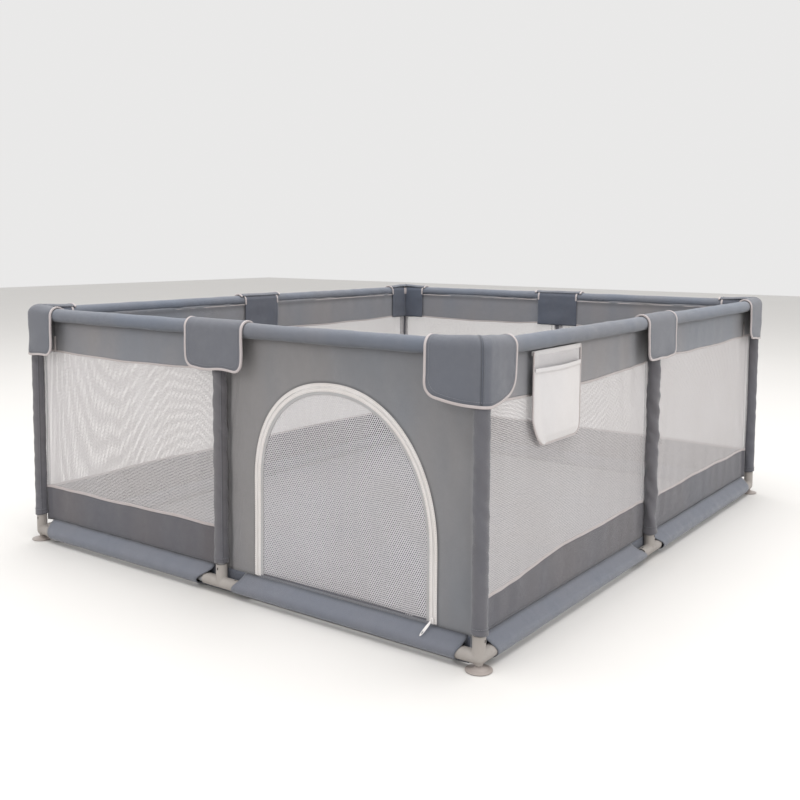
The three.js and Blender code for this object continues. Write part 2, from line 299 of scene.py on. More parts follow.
def piece(name, mesh, material, slot, body, replaces=()):
    """Puts a finished mesh into the scene, riding on a body of the frame."""
    obj = bpy.data.objects.new(name, mesh)
    bpy.context.scene.collection.objects.link(obj)
    mesh.materials.append(material)
    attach(obj, body)
    if replaces:
        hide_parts(*replaces)
    return obj


def thicken(obj, thickness, offset=0.0):
    """Gives cloth its thickness, split between its two faces by offset, which runs from -1 to 1."""
    solid = obj.modifiers.new("Thickness", "SOLIDIFY")
    solid.thickness = thickness
    solid.offset = offset
    return obj


# ---------------------------------------------------------------- profiles carried along paths


def tangents(path, closed):
    """Unit directions of travel along a path."""
    if closed:
        return unit(np.roll(path, -1, 0) - np.roll(path, 1, 0))
    return unit(np.gradient(path, axis=0))


def sweep(path, normals, profile, closed=False, scale=None):
    """A profile carried along a path: each point is the path's point plus profile a times the normal
    plus profile b times the direction across, with the profile scaled where scale is given."""
    along = tangents(path, closed)
    across = unit(np.cross(along, np.broadcast_to(normals, path.shape)))
    upright = np.cross(across, along)
    profile = np.asarray(profile)[None] * (1 if scale is None else np.asarray(scale)[:, None, None])
    return path[:, None] + profile[..., :1] * upright[:, None] + profile[..., 1:] * across[:, None]


def ring(radius, sides, squash=1.0):
    """A round or oval profile."""
    angle = np.linspace(0, 2 * math.pi, sides, endpoint=False)
    return np.stack([radius * squash * np.cos(angle), radius * np.sin(angle)], -1)


def slab_profile(width, thickness, sides=16):
    """A flat band's rounded section: a superellipse, wide across and thin along the normal."""
    angle = np.linspace(0, 2 * math.pi, sides, endpoint=False)
    c, s = np.cos(angle), np.sin(angle)
    return np.stack([
        thickness / 2 * np.sign(c) * np.abs(c) ** 0.5,
        width / 2 * np.sign(s) * np.abs(s) ** 0.35,
    ], -1)


def cord(name, path, normals, profile, closed=False):
    """A closed bar of the given profile along a path, with ends that round off over one half-width."""
    path = np.asarray(path, float)
    normals = np.broadcast_to(normals, path.shape)
    scale = np.ones(len(path))
    if not closed:
        turn = np.radians([30, 60, 90])
        reach = np.abs(np.asarray(profile)[:, 0]).max()
        first, last = unit(path[1] - path[0]), unit(path[-1] - path[-2])
        path = np.concatenate([
            path[0] - first * reach * np.sin(turn[::-1, None]), path,
            path[-1] + last * reach * np.sin(turn[:, None]),
        ])
        scale = np.concatenate([np.cos(turn[::-1]), scale, np.cos(turn)])
        normals = np.concatenate([normals[:1].repeat(3, 0), normals, normals[-1:].repeat(3, 0)])
    points = sweep(path, normals, profile, closed, scale)
    return surface(name, points, (closed, True), poles=not closed)


def lathe_points(profile, sides):
    """A profile of (radius, height) turned about the z axis."""
    angle = np.linspace(0, 2 * math.pi, sides, endpoint=False)
    radius, height = np.asarray(profile, float).T
    x = radius[:, None] * np.cos(angle)
    y = radius[:, None] * np.sin(angle)
    return np.stack([x, y, np.broadcast_to(height[:, None], x.shape)], -1)


def stitches(name, path, normals, pitch=0.0048, length=0.0033, radius=0.00042, closed=False, turned=False):
    """A row of thread stitches: one small spindle, 6-sided and tapering to a point at each end,
    copied to evenly spaced places along the path. Turned, they lie across it, as zip teeth do."""
    path = np.asarray(path, float)
    normals = np.broadcast_to(normals, path.shape)
    both = resampled(np.concatenate([path, normals], 1), pitch=pitch, closed=closed)
    centres, upright = both[:, :3], unit(both[:, 3:])
    along = tangents(centres, closed)
    across = unit(np.cross(along, upright))
    if turned:
        along, across = across, along
    angle = np.linspace(0, 2 * math.pi, 6, endpoint=False)
    spindle = np.array(
        [[-1, 0, 0], [1, 0, 0]]
        + [[x, math.cos(a), math.sin(a)] for x in (-0.62, 0.62) for a in angle]
    ) * [length / 2, radius, radius]
    k = np.arange(6)
    n = (k + 1) % 6
    tail = np.stack([np.zeros(6, int), 2 + n, 2 + k], -1)
    head = np.stack([np.ones(6, int), 8 + k, 8 + n], -1)
    belt = np.concatenate([np.stack([2 + k, 2 + n, 8 + n], -1), np.stack([2 + k, 8 + n, 8 + k], -1)])
    faces = np.concatenate([tail, head, belt])
    axes = np.stack([along, upright, across], 1)
    points = centres[:, None] + np.einsum("vk,nkc->nvc", spindle, axes)
    shift = (np.arange(len(centres)) * len(spindle))[:, None, None]
    faces = (faces[None] + shift).reshape(-1, 3)
    points = points.reshape(-1, 3)
    if signed_volume(points, faces) < 0:
        faces = faces[:, ::-1]
    return mesh_from(name, points, faces)


# ---------------------------------------------------------------- materials


class Finish:
    """A material being put together: short ways to add nodes and join them."""

    def __init__(self, name, roughness=0.8, **constants):
        self.material = bpy.data.materials.new(name)
        self.material.use_nodes = True
        self.tree = self.material.node_tree
        self.shader = self.tree.nodes["Principled BSDF"]
        self.shader.inputs["Roughness"].default_value = roughness
        for socket, value in constants.items():
            self.shader.inputs[socket.replace("_", " ")].default_value = value

    def node(self, kind, *sources, **settings):
        """A node with its settings, and its inputs joined to sockets or set to values, in order."""
        made = self.tree.nodes.new("ShaderNode" + kind)
        for key, value in settings.items():
            setattr(made, key, value)
        for socket, source in zip(made.inputs, sources):
            self.feed(socket, source)
        return made

    def feed(self, socket, source):
        if isinstance(source, bpy.types.NodeSocket):
            self.tree.links.new(source, socket)
        elif source is not None:
            socket.default_value = source

    def math(self, operation, a, b=None, c=None):
        return self.node("Math", a, b, c, operation=operation).outputs[0]

    def vector(self, operation, a, b=None, c=None):
        made = self.node("VectorMath", a, b, c, operation=operation)
        return made.outputs["Value" if operation == "LENGTH" else "Vector"]

    def coordinates(self, kind="Object"):
        """Places on the piece: its own UV map, in metres of cloth, or the shared row frame."""
        return self.node("TexCoord").outputs[kind]

    def noise(self, where, scale, detail=3.0, roughness=0.55, stretch=None):
        if stretch:
            where = self.vector("MULTIPLY", where, stretch)
        made = self.node("TexNoise", where)
        made.inputs["Scale"].default_value = scale
        made.inputs["Detail"].default_value = detail
        made.inputs["Roughness"].default_value = roughness
        return made.outputs["Fac"]

    def ramp(self, value, low, high, to_low=0.0, to_high=1.0):
        """The value carried from one range to another, and held at its ends."""
        made = self.node("MapRange", value, low, high, to_low, to_high)
        return made.outputs["Result"]

    def blend(self, share, a, b, kind="MIX"):
        """Colour a turned towards colour b by the share given."""
        made = self.tree.nodes.new("ShaderNodeMix")
        made.data_type = "RGBA"
        made.blend_type = kind
        sockets = [k for k in made.inputs if k.enabled and k.type == "RGBA"]
        self.feed(made.inputs["Factor"], share)
        self.feed(sockets[0], a)
        self.feed(sockets[1], b)
        return next(k for k in made.outputs if k.enabled and k.type == "RGBA")

    def attribute(self, name):
        return self.node("Attribute", attribute_name=name).outputs["Fac"]

    def colour(self, source):
        self.feed(self.shader.inputs["Base Color"], source)

    def bump(self, *layers):
        """Relief on relief: each layer is a height from 0 to 1 and the depth it stands for, in metres."""
        normal = None
        for height, depth in layers:
            made = self.tree.nodes.new("ShaderNodeBump")
            made.inputs["Distance"].default_value = depth
            self.feed(made.inputs["Height"], height)
            self.feed(made.inputs["Normal"], normal)
            normal = made.outputs["Normal"]
        self.tree.links.new(normal, self.shader.inputs["Normal"])

    def weave(self, where, pitch):
        """Plain weave: threads as rounded ridges both ways, with one way on top in every other cell."""
        at = self.vector("MULTIPLY", where, (math.pi / pitch,) * 3)
        split = self.node("SeparateXYZ", at).outputs
        a, b = (self.math("SINE", split[k]) for k in (0, 1))
        over = self.math("GREATER_THAN", self.math("MULTIPLY", a, b), 0.0)
        ridge_a, ridge_b = self.math("ABSOLUTE", a), self.math("ABSOLUTE", b)
        lift = self.math("MULTIPLY", over, self.math("SUBTRACT", ridge_a, ridge_b))
        return self.math("ADD", ridge_b, lift)


def rgba(colour):
    return (*tuple(colour)[:3], 1.0)


def shifted(colour, warm=0.0, light=1.0):
    """A colour made lighter or darker, and warmer where warm is above 0."""
    r, g, b = tuple(colour)[:3]
    return (r * light * (1 + warm), g * light, b * light * (1 - warm), 1.0)


def woven_cloth(name, colour, pitch=0.0009, on_uv=True, warm=0.05, patches=0.5, sheen=0.3):
    """Coated oxford cloth: plain weave with painted shade between its threads, cloudy colour running
    down the cloth, fine flecks, painted shade from the shade attribute in folds and seams, and a soft sheen."""
    f = Finish(name, 0.72, Sheen_Weight=sheen, Sheen_Roughness=0.45, Specular_IOR_Level=0.35)
    place = f.coordinates()
    cloth = f.coordinates("UV") if on_uv else place
    weave = f.weave(cloth, pitch)
    cloud = f.ramp(f.noise(place, 4.0, 3.0, stretch=(1.0, 1.0, 0.3)), 0.36, 0.64)
    fleck = f.noise(cloth, 900.0, 2.0, stretch=(1.0, 0.35, 1.0))
    dull, bright = shifted(colour, -warm, 1 - 0.05 * patches), shifted(colour, warm, 1 + 0.08 * patches)
    base = f.blend(cloud, dull, bright)
    base = f.blend(f.ramp(fleck, 0.35, 0.75, 0.0, 0.22), base, shifted(colour, 0.0, 1.35))
    # painted shade: the colour darkens where the weave dips between threads
    base = f.blend(f.ramp(weave, 0.1, 0.8, 0.16, 0.0), base, shifted(colour, 0.0, 0.45))
    # painted shade: the piece's shade attribute darkens its folds, seams and places under rails and by posts
    fold = f.attribute("shade")
    f.colour(f.blend(fold, base, shifted(colour, 0.0, 0.32)))
    f.feed(f.shader.inputs["Roughness"], f.ramp(f.noise(place, 60.0, 4.0), 0.3, 0.7, 0.62, 0.82))
    crumple = f.noise(place, 38.0, 5.0, 0.6)
    f.bump((crumple, 0.0012), (weave, 0.00012))
    return f.material


def netting(name, colour, pitch, hole, sheen=0.2):
    """Warp-knitted netting: round holes in staggered rows, cut out by alpha, in a slightly uneven,
    fuzzy knit."""
    f = Finish(name, 0.85, Sheen_Weight=sheen, Sheen_Roughness=0.5)
    cell = np.array([pitch, pitch * math.sqrt(3), 1.0])
    where = f.coordinates("UV")
    share = f.vector("DIVIDE", where, tuple(cell))
    spans = []
    for offset in (0.0, 0.5):
        moved = f.vector("ADD", share, (offset, offset, 0.0))
        middle_of_cell = f.vector("SUBTRACT", f.vector("FRACTION", moved), (0.5, 0.5, 0.0))
        metres = f.vector("MULTIPLY", middle_of_cell, (*cell[:2], 0.0))
        spans.append(f.vector("LENGTH", metres))
    reach = f.math("MINIMUM", *spans)
    uneven = f.ramp(f.noise(where, 220.0, 2.0), 0.3, 0.7, -0.06 * pitch, 0.06 * pitch)
    f.feed(f.shader.inputs["Alpha"], f.math("GREATER_THAN", f.math("ADD", reach, uneven), hole))
    rib = f.ramp(reach, hole, pitch * 0.58)
    cloud = f.ramp(f.noise(f.coordinates(), 4.0, 2.0), 0.3, 0.7)
    base = f.blend(cloud, shifted(colour, 0.01, 0.96), shifted(colour, 0.0, 1.04))
    # painted shade: the knit darkens where it rounds down into each hole
    f.colour(f.blend(f.ramp(rib, 0.0, 0.6, 0.35, 0.0), base, shifted(colour, 0.0, 0.62)))
    f.bump((rib, 0.0003), (f.noise(where, 1400.0, 2.0), 0.0001))
    return f.material


def ribbed_tape(name, colour, pitch=0.0011, roughness=0.75):
    """Woven tape and bias binding: fine ribs with painted shade in their dips, a slight mottle, and painted
    shade from the shade attribute.
    """
    f = Finish(name, roughness, Sheen_Weight=0.2, Sheen_Roughness=0.4)
    cloth = f.coordinates("UV")
    split = f.node("SeparateXYZ", f.vector("MULTIPLY", cloth, (math.pi / pitch,) * 3)).outputs
    rib = f.math("ABSOLUTE", f.math("SINE", f.math("ADD", split[0], f.math("MULTIPLY", split[1], 0.5))))
    soil = f.ramp(f.noise(f.coordinates(), 26.0, 4.0), 0.35, 0.7)
    base = f.blend(soil, shifted(colour, 0.02, 0.93), rgba(colour))
    # painted shade: the colour darkens in the dips between ribs
    base = f.blend(f.ramp(rib, 0.0, 0.6, 0.25, 0.0), base, shifted(colour, 0.0, 0.55))
    # painted shade from the piece's shade attribute
    f.colour(f.blend(f.attribute("shade"), base, shifted(colour, 0.0, 0.4)))
    f.bump((f.noise(f.coordinates(), 120.0, 3.0), 0.0006), (rib, 0.00025))
    return f.material


def moulded(name, colour, roughness, grain=0.0003, mottle=0.08, **constants):
    """Moulded plastic or rubber: a pebbled skin, faint flow marks and scuffs that catch the light."""
    f = Finish(name, roughness, **constants)
    place = f.coordinates()
    flow = f.ramp(f.noise(place, 22.0, 5.0, stretch=(1.0, 1.0, 0.4)), 0.3, 0.7)
    scuff = f.ramp(f.noise(place, 160.0, 6.0, 0.7), 0.6, 0.75)
    base = f.blend(flow, shifted(colour, 0.01, 1 - mottle), shifted(colour, 0.0, 1 + mottle))
    f.colour(f.blend(f.math("MULTIPLY", scuff, 0.25), base, shifted(colour, 0.0, 1.5)))
    f.feed(f.shader.inputs["Roughness"], f.ramp(scuff, 0.0, 1.0, roughness, min(roughness + 0.2, 1.0)))
    f.bump((f.noise(place, 900.0, 3.0), grain), (flow, 0.0004))
    return f.material


def painted_steel(name, colour):
    """Powder-coated steel tube: fine orange peel and a few rubbed streaks along it."""
    f = Finish(name, 0.38, Metallic=0.7, Specular_IOR_Level=0.5)
    place = f.coordinates()
    streak = f.ramp(f.noise(place, 40.0, 4.0, stretch=(1.0, 1.0, 0.15)), 0.4, 0.7)
    f.colour(f.blend(streak, shifted(colour, 0.0, 0.85), shifted(colour, 0.0, 1.1)))
    f.feed(f.shader.inputs["Roughness"], f.ramp(streak, 0.0, 1.0, 0.32, 0.5))
    f.bump((f.noise(place, 700.0, 2.0), 0.00015))
    return f.material


def thread(name, colour):
    """Sewing thread: a twist of fine diagonal plies."""
    f = Finish(name, 0.6, Sheen_Weight=0.3)
    ply = f.noise(f.coordinates(), 2500.0, 1.0)
    f.colour(f.blend(ply, shifted(colour, 0.0, 0.8), shifted(colour, 0.0, 1.15)))
    f.bump((ply, 0.0002))
    return f.material


def studio_floor(name):
    """A plain pale floor with the faintest unevenness."""
    f = Finish(name, 0.6)
    f.colour(f.blend(f.noise(f.coordinates(), 1.5, 2.0), (0.69, 0.675, 0.655, 1), (0.71, 0.695, 0.675, 1)))
    return f.material


def material(name):
    """The named material of the pen, made from the scene's colours the first time it is asked for."""
    if name in bpy.data.materials:
        return bpy.data.materials[name]
    colours = bpy.context.scene.playpen_colours
    sizes = bpy.context.scene.playpen_sizes
    recipes = {
        "rail cloth": lambda: woven_cloth(name, colours.rail_cloth),
        "cover cloth": lambda: woven_cloth(name, colours.cover_cloth, warm=0.02),
        # painted light: the top bands and door panel are single cloth, and their lighter colour and stronger
        # patches stand in for light shining through it
        "band cloth": lambda: woven_cloth(name, colours.band_cloth, warm=0.06, patches=1.0),
        "door panel cloth": lambda: woven_cloth(name, colours.panel_cloth, warm=0.05, patches=1.0),
        "post cloth": lambda: woven_cloth(name, colours.post_cloth),
        "lower band cloth": lambda: woven_cloth(name, colours.lower_cloth, warm=0.05),
        "hem cloth": lambda: woven_cloth(name, colours.hem_cloth, warm=0.02),
        # painted shade: the lining colour is the cover cloth made darker for the shade inside the pen
        "shaded lining cloth": lambda: woven_cloth(name, colours.shaded_lining_cloth),
        "mat cloth": lambda: woven_cloth(name, colours.mat_cloth, 0.0014, on_uv=False, patches=0.3),
        "window netting": lambda: netting(
            name, colours.netting, sizes.net_pitch, sizes.net_pitch * sizes.net_opening),
        "door netting": lambda: netting(
            name, colours.door_netting, sizes.door_net_pitch, sizes.door_net_pitch * sizes.net_opening),
        "pocket netting": lambda: netting(
            name, colours.pocket_netting, 0.0028, 0.00075),
        "pocket cloth": lambda: woven_cloth(name, colours.pocket_cloth, 0.0016, warm=0.01, patches=0.3),
        "binding": lambda: ribbed_tape(name, colours.binding),
        "net hem": lambda: ribbed_tape(name, colours.net_hem),
        "zip tape": lambda: ribbed_tape(name, colours.zip_tape, 0.0014),
        "zip coil": lambda: moulded(name, colours.zip_tape, 0.4, grain=0.0001),
        "connector plastic": lambda: moulded(name, colours.connector, 0.55, Specular_IOR_Level=0.4),
        "cup rubber": lambda: moulded(name, colours.cup, 0.35, mottle=0.05, Specular_IOR_Level=0.5),
        "button metal": lambda: moulded(name, (0.05, 0.047, 0.045), 0.5, Metallic=0.4),
        "steel tube": lambda: painted_steel(name, (0.42, 0.42, 0.43)),
        "grey thread": lambda: thread(name, colours.thread),
        "pale thread": lambda: thread(name, colours.binding),
        "studio floor": lambda: studio_floor(name),
    }
    return recipes[name]()


# ---------------------------------------------------------------- cloth walls


def cloth(name, points, finish, slot, body="frame", thickness=0.0008, offset=-1.0, replaces=(), **shape):
    """A sheet of cloth from a grid of points, given its thickness."""
    obj = piece(name, surface(name, points, **shape), material(finish), slot, body, replaces)
    return thicken(obj, thickness, offset)


def strip(name, path, normals, profile, finish, slot, body="frame", closed=False):
    """Binding, tape, piping or the like, along a path."""
    return piece(name, cord(name, path, normals, profile, closed), material(finish), slot, body)


def seam(name, path, normals, finish="grey thread", slot="oxford_cloth", body="frame", closed=False):
    """A row of stitches along a path."""
    pitch = bpy.context.scene.playpen_sizes.stitch_pitch
    mesh = stitches(name, path, normals, pitch, 0.7 * pitch, closed=closed)
    return piece(name, mesh, material(finish), slot, body)


# distance from the corner post's axis at which the wall cloth ends
CORNER_CLOTH = 0.0136
PANELS = [(side, end) for side in SIDES for end in ENDS if (side, end) != ("front", "right")]
# how much further the top band's lower edge hangs down on the slackest panel
SAG = {("right", "left"): 0.012}
# distance of the upright tape at a band's end from the corner post's axis
END_TAPE = 0.062


def seed_of(side, end, extra=0):
    return 100 * list(SIDES).index(side) + 10 * ENDS.index(end) + extra


def share_along(side, u):
    """0 at the middle post and 1 at a corner post."""
    return np.clip(np.abs(u) / SIDES[side][1], 0, 1)


def band_low(side, end, u):
    """Height of the top band's lower edge: a shallow curve, lowest halfway between the posts."""
    bow = 4 * share_along(side, u) * (1 - share_along(side, u))
    wave = 0.0012 * ripples(seed_of(side, end, 1), u, 0, (0.12, 0.4), count=4)
    return WINDOW_HIGH - 0.5 * SAG.get((side, end), 0.0) - (0.004 + SAG.get((side, end), 0.004)) * bow + wave


def window_low(side, end, u):
    """Height of the bottom band's upper edge."""
    drop = 0.026 if (side, end) == ("right", "left") else 0.004
    level = WINDOW_LOW - drop * smooth_step(share_along(side, u), 0.5, 0.97)
    return level + 0.0015 * ripples(seed_of(side, end, 2), u, 0, (0.15, 0.5), count=4)


def to_post(side, u):
    """How much further out the wall stands at its corner end, where it is sewn to the post sleeve."""
    half = SIDES[side][1]
    return 0.0060 * smooth_step(np.abs(u), half - 0.034, half - CORNER_CLOTH)


def wall_w(side, end, u, z):
    """How far out the wall cloth stands: nearly flat, with long upright folds by the posts."""
    t = share_along(side, u)
    by_posts = bump(t, 0.0, 0.16) + bump(t, 1.0, 0.16)
    long_folds = ripples(seed_of(side, end, 3), u, z, (0.05, 0.16), (-0.25, 0.25), 7)
    billow = ripples(seed_of(side, end, 4), u, z, (0.3, 0.8), count=4)
    depth = bpy.context.scene.playpen_sizes.fold_depth
    settled = smooth_step(z, SEAM_Z, SEAM_Z + 0.04)
    flat = WALL_W + to_post(side, u)
    return flat + depth * settled * (billow * 0.6 + long_folds * (0.25 + 0.75 * by_posts))


def wall_grid(side, end, low, high, across, along=None):
    """u and z of a wall panel's grid: columns run up between two heights given as functions of u."""
    start, stop = panel_span(side, end, CORNER_CLOTH, 0.0)
    along = along or int((stop - start) / 0.006)
    u = np.linspace(start, stop, along)[:, None]
    s = np.linspace(0, 1, across)[None]
    z = low(u) + (high(u) - low(u)) * s
    return np.broadcast_to(u, z.shape), z


def panel_cloth(name, side, end, low, high, across, finish, slot, shade=None, replaces=(), thickness=0.0008):
    """One stretched piece of a wall: the sheet w(u, z) between two heights."""
    u, z = wall_grid(side, end, low, high, across)
    points = on_side(side, u, wall_w(side, end, u, z), z)
    painted_shade = None if shade is None else shade(u, z)
    obj = cloth(name, points, finish, slot, facing=direction(side, 0, 1, 0), shade=painted_shade,
                uv=np.stack([u, z], -1), replaces=replaces, offset=0.0, thickness=thickness)
    return obj


def edge_binding(name, side, end, height, width):
    """Binding folded over a cut edge of the wall, at a height given as a function of u."""
    start, stop = panel_span(side, end, CORNER_CLOTH + 0.001, 0.016)
    u = np.linspace(start, stop, 100)
    z = height(u)
    path = on_side(side, u, wall_w(side, end, u, z), z)
    profile = slab_profile(width, 0.0026)
    return strip(name, path, direction(side, 0, 1, 0), profile, "binding", "binding_cloth")


class PlaypenBands(bpy.types.Operator):
    """Makes the cloth band under each rail pad and the one above each hem, with their bindings"""

    bl_idname = "playpen.bands"
    bl_label = "Wall Bands"

    def execute(self, context):
        width = context.scene.playpen_sizes.binding_width
        for side, end in PANELS:
            tag = f"{side}_{end}"
            replaced = [f"wall_{side}"] if end == "left" else []

            def band_edge(u, side=side, end=end):
                return band_low(side, end, u)

            def window_edge(u, side=side, end=end):
                return window_low(side, end, u)

            def post_shade(u, z, side=side):
                # painted shade: a shadow slit beside the end tape, shade near the middle post and a shadow
                # line under the rail pad
                t = share_along(side, u)
                slit_shadow = 0.6 * bump(np.abs(u), SIDES[side][1] - END_TAPE + 0.006, 0.0035)
                return slit_shadow + 0.35 * bump(t, 0.04, 0.05) + 0.5 * bump(z, TOP_Z - 0.019, 0.008)

            panel_cloth(f"top_band_{tag}", side, end, band_edge, lambda u: TOP_Z - 0.007 + 0 * u, 16,
                        "band cloth", "oxford_cloth", post_shade, replaced)
            # the bottom band gets painted shade in the groove of its seam with the hem
            panel_cloth(f"bottom_band_{tag}", side, end, lambda u: SEAM_Z - 0.002 + 0 * u, window_edge, 14,
                        "lower band cloth", "oxford_cloth",
                        lambda u, z: 0.7 * bump(z, SEAM_Z, 0.004) + 0 * u)
            edge_binding(f"top_binding_{tag}", side, end, band_edge, 0.7 * width)
            edge_binding(f"bottom_binding_{tag}", side, end, window_edge, width)
            u_tape = (SIDES[side][1] - END_TAPE) * (1 if end == "right" else -1)
            z = np.linspace(band_edge(u_tape), COVER_LOW_CORNER + 0.05, 30)
            path = on_side(side, u_tape, wall_w(side, end, u_tape, z) + 0.0030, z)
            strip(f"band_end_tape_{tag}", path, direction(side, 0, 1, 0), slab_profile(0.0085, 0.0016),
                  "binding", "binding_cloth")
        return {"FINISHED"}


class PlaypenWindows(bpy.types.Operator):
    """Makes the netting window between the bands of each panel"""

    bl_idname = "playpen.windows"
    bl_label = "Net Windows"

    def execute(self, context):
        for side, end in PANELS:
            panel_cloth(f"window_{side}_{end}", side, end, lambda u: window_low(side, end, u),
                        lambda u: band_low(side, end, u), 44, "window netting", "mesh_cloth",
                        thickness=0.0005)
            for place, u in (("post", 0.0225), ("corner", SIDES[side][1] - 0.0215)):
                u = u if end == "right" else -u
                z = np.linspace(window_low(side, end, u), band_low(side, end, u), 60)
                path = on_side(side, u + 0.0008 * np.sin(z / 0.05), wall_w(side, end, u, z) + 0.0006, z)
                strip(f"window_edge_{side}_{end}_{place}", path, direction(side, 0, 1, 0),
                      slab_profile(0.0035, 0.0014), "net hem", "binding_cloth")
        return {"FINISHED"}


# ---------------------------------------------------------------- sleeves and pads


# where the hems stop beside the middle posts: left hem's seam and foot, right hem's seam and foot
HEM_STOPS = {
    "front": (-0.037, -0.073, 0.065, 0.045),
    "right": (-0.088, -0.048, 0.030, 0.066),
    "back": (-0.044, -0.064, 0.046, 0.060),
    "left": (-0.052, -0.062, 0.045, 0.066),
}


# how deep each side's hems hang below their rail, as a share of the snug radius
HEM_SLACK = {"front": 1.02, "right": 1.02, "back": 1.42, "left": 1.42}


def hem_ends(side, end):
    """Start and stop of a hem, each at its seam and at its foot, which is cut back at the corners."""
    half = SIDES[side][1]
    at_seam, at_foot = half - 0.036, half - 0.049
    stops = HEM_STOPS[side]
    if end == "left":
        return (-at_seam, -at_foot), stops[:2]
    return stops[2:], (at_seam, at_foot)


def foot_gaps(side):
    """The stretches of a wall's foot that no hem covers, each reaching a little behind the hems."""
    half, reach = SIDES[side][1], 0.020
    stops = HEM_STOPS[side]
    return {
        "left": (-half + 0.030, -half + 0.049 + reach),
        "middle": (min(stops[:2]) - reach, max(stops[2:]) + reach),
        "right": (half - 0.049 - reach, half - 0.030),
    }


def hem_points(side, start, stop, seed):
    """The drop-shaped hem round the bottom rail. Its section goes round the rail on a circle that hangs
    slack below it, and runs straight up both sides to the seam. Its ends slant from the seam to the foot."""
    radius = 0.0162
    apex = np.array([WALL_W, SEAM_Z])
    away = apex - np.array([0.0, LOW_Z])
    reach = np.hypot(*away)
    lean = math.atan2(away[1], away[0])
    open_by = math.acos(radius / reach)
    angle = np.linspace(lean + open_by, lean - open_by + 2 * math.pi, 30)
    hang = np.where(np.sin(angle) < 0, HEM_SLACK[side], 1)
    circle = np.stack([radius * np.cos(angle), LOW_Z + radius * hang * np.sin(angle)], -1)
    section = resampled(np.concatenate([[apex], circle, [apex + [0.0006, 0]]]), 46)
    w, z = section.T
    s = np.linspace(0, 1, int((stop[0] - start[0]) / 0.007))[:, None]
    sunk = smooth_step(SEAM_Z - z, 0.004, 0.040)
    first, last = (at_seam + (at_foot - at_seam) * sunk for at_seam, at_foot in (start, stop))
    u = first + (last - first) * s
    loose = np.sin(math.pi * np.clip((SEAM_Z - z) / (SEAM_Z - LOW_Z), 0, 1))
    swell = 1 + 0.055 * ripples(seed, u, z, (0.05, 0.3), (-0.5, 0.5), 8) * (0.35 + loose)
    return on_side(side, u, w * swell, LOW_Z + (z - LOW_Z) * (1 + (swell - 1) * 0.4)), u, z


class PlaypenHems(bpy.types.Operator):
    """Makes the sleeve of cloth that each bottom rail runs through"""

    bl_idname = "playpen.hems"
    bl_label = "Bottom Hems"

    def execute(self, context):
        for side in SIDES:
            for end in ENDS:
                start, stop = hem_ends(side, end)
                points, u, z = hem_points(side, start, stop, seed_of(side, end, 5))
                ends = np.minimum(u - u[:1], u[-1:] - u)
                # painted shade in the seam's groove above the hem and at the hem's ends
                painted_shade = 0.75 * bump(z, SEAM_Z, 0.0035) + 0.25 * bump(ends, 0, 0.006)
                name = f"hem_sleeve_{side}_{end}"
                obj = cloth(name, points, "hem cloth", "oxford_cloth", thickness=0.0012,
                            facing=direction(side, 0, 0, -1), shade=np.broadcast_to(painted_shade, u.shape))
                girth = float(np.linalg.norm(np.diff(points[20], axis=0), axis=1).sum())
                length_cut = max(stop) - min(start)
                line = np.linspace(start[0] + 0.010, stop[0] - 0.010, 60)
                path = on_side(side, line, WALL_W + 0.0016, SEAM_Z + 0.0042)
                seam(f"hem_stitches_{side}_{end}", path, direction(side, 0, 1, 0))
            for place, gap in foot_gaps(side).items():
                self.foot(side, place, *gap)
        return {"FINISHED"}

    def foot(self, side, place, first, last):
        """The foot of the wall behind a connector: a flat slope from the hems' seam in to the mat's edge."""
        high = box("floor_mat")[1]
        mat_top = high[2] - 0.004
        edge = (high[1] if side in ("front", "back") else high[0]) + 0.006 - SIDES[side][2]
        u = np.linspace(first, last, 30)[:, None]
        s = np.linspace(0, 1, 8)[None]
        w, z = WALL_W + (edge - WALL_W) * s, SEAM_Z + (mat_top - SEAM_Z) * s
        # painted shade: the foot takes the dark lining colour for the shade behind the connectors
        obj = cloth(f"wall_foot_{side}_{place}", on_side(side, u, w, z), "shaded lining cloth", "oxford_cloth",
                    facing=direction(side, 0, -1, 0.6), offset=0.0)


POSTS = {corner: (side, -1) for corner, side in CORNERS.items()} | {side: (side, 0) for side in SIDES}
POST_LOW, POST_HIGH = STEM_TOP + 0.001, COVER_LOW_CORNER + 0.075


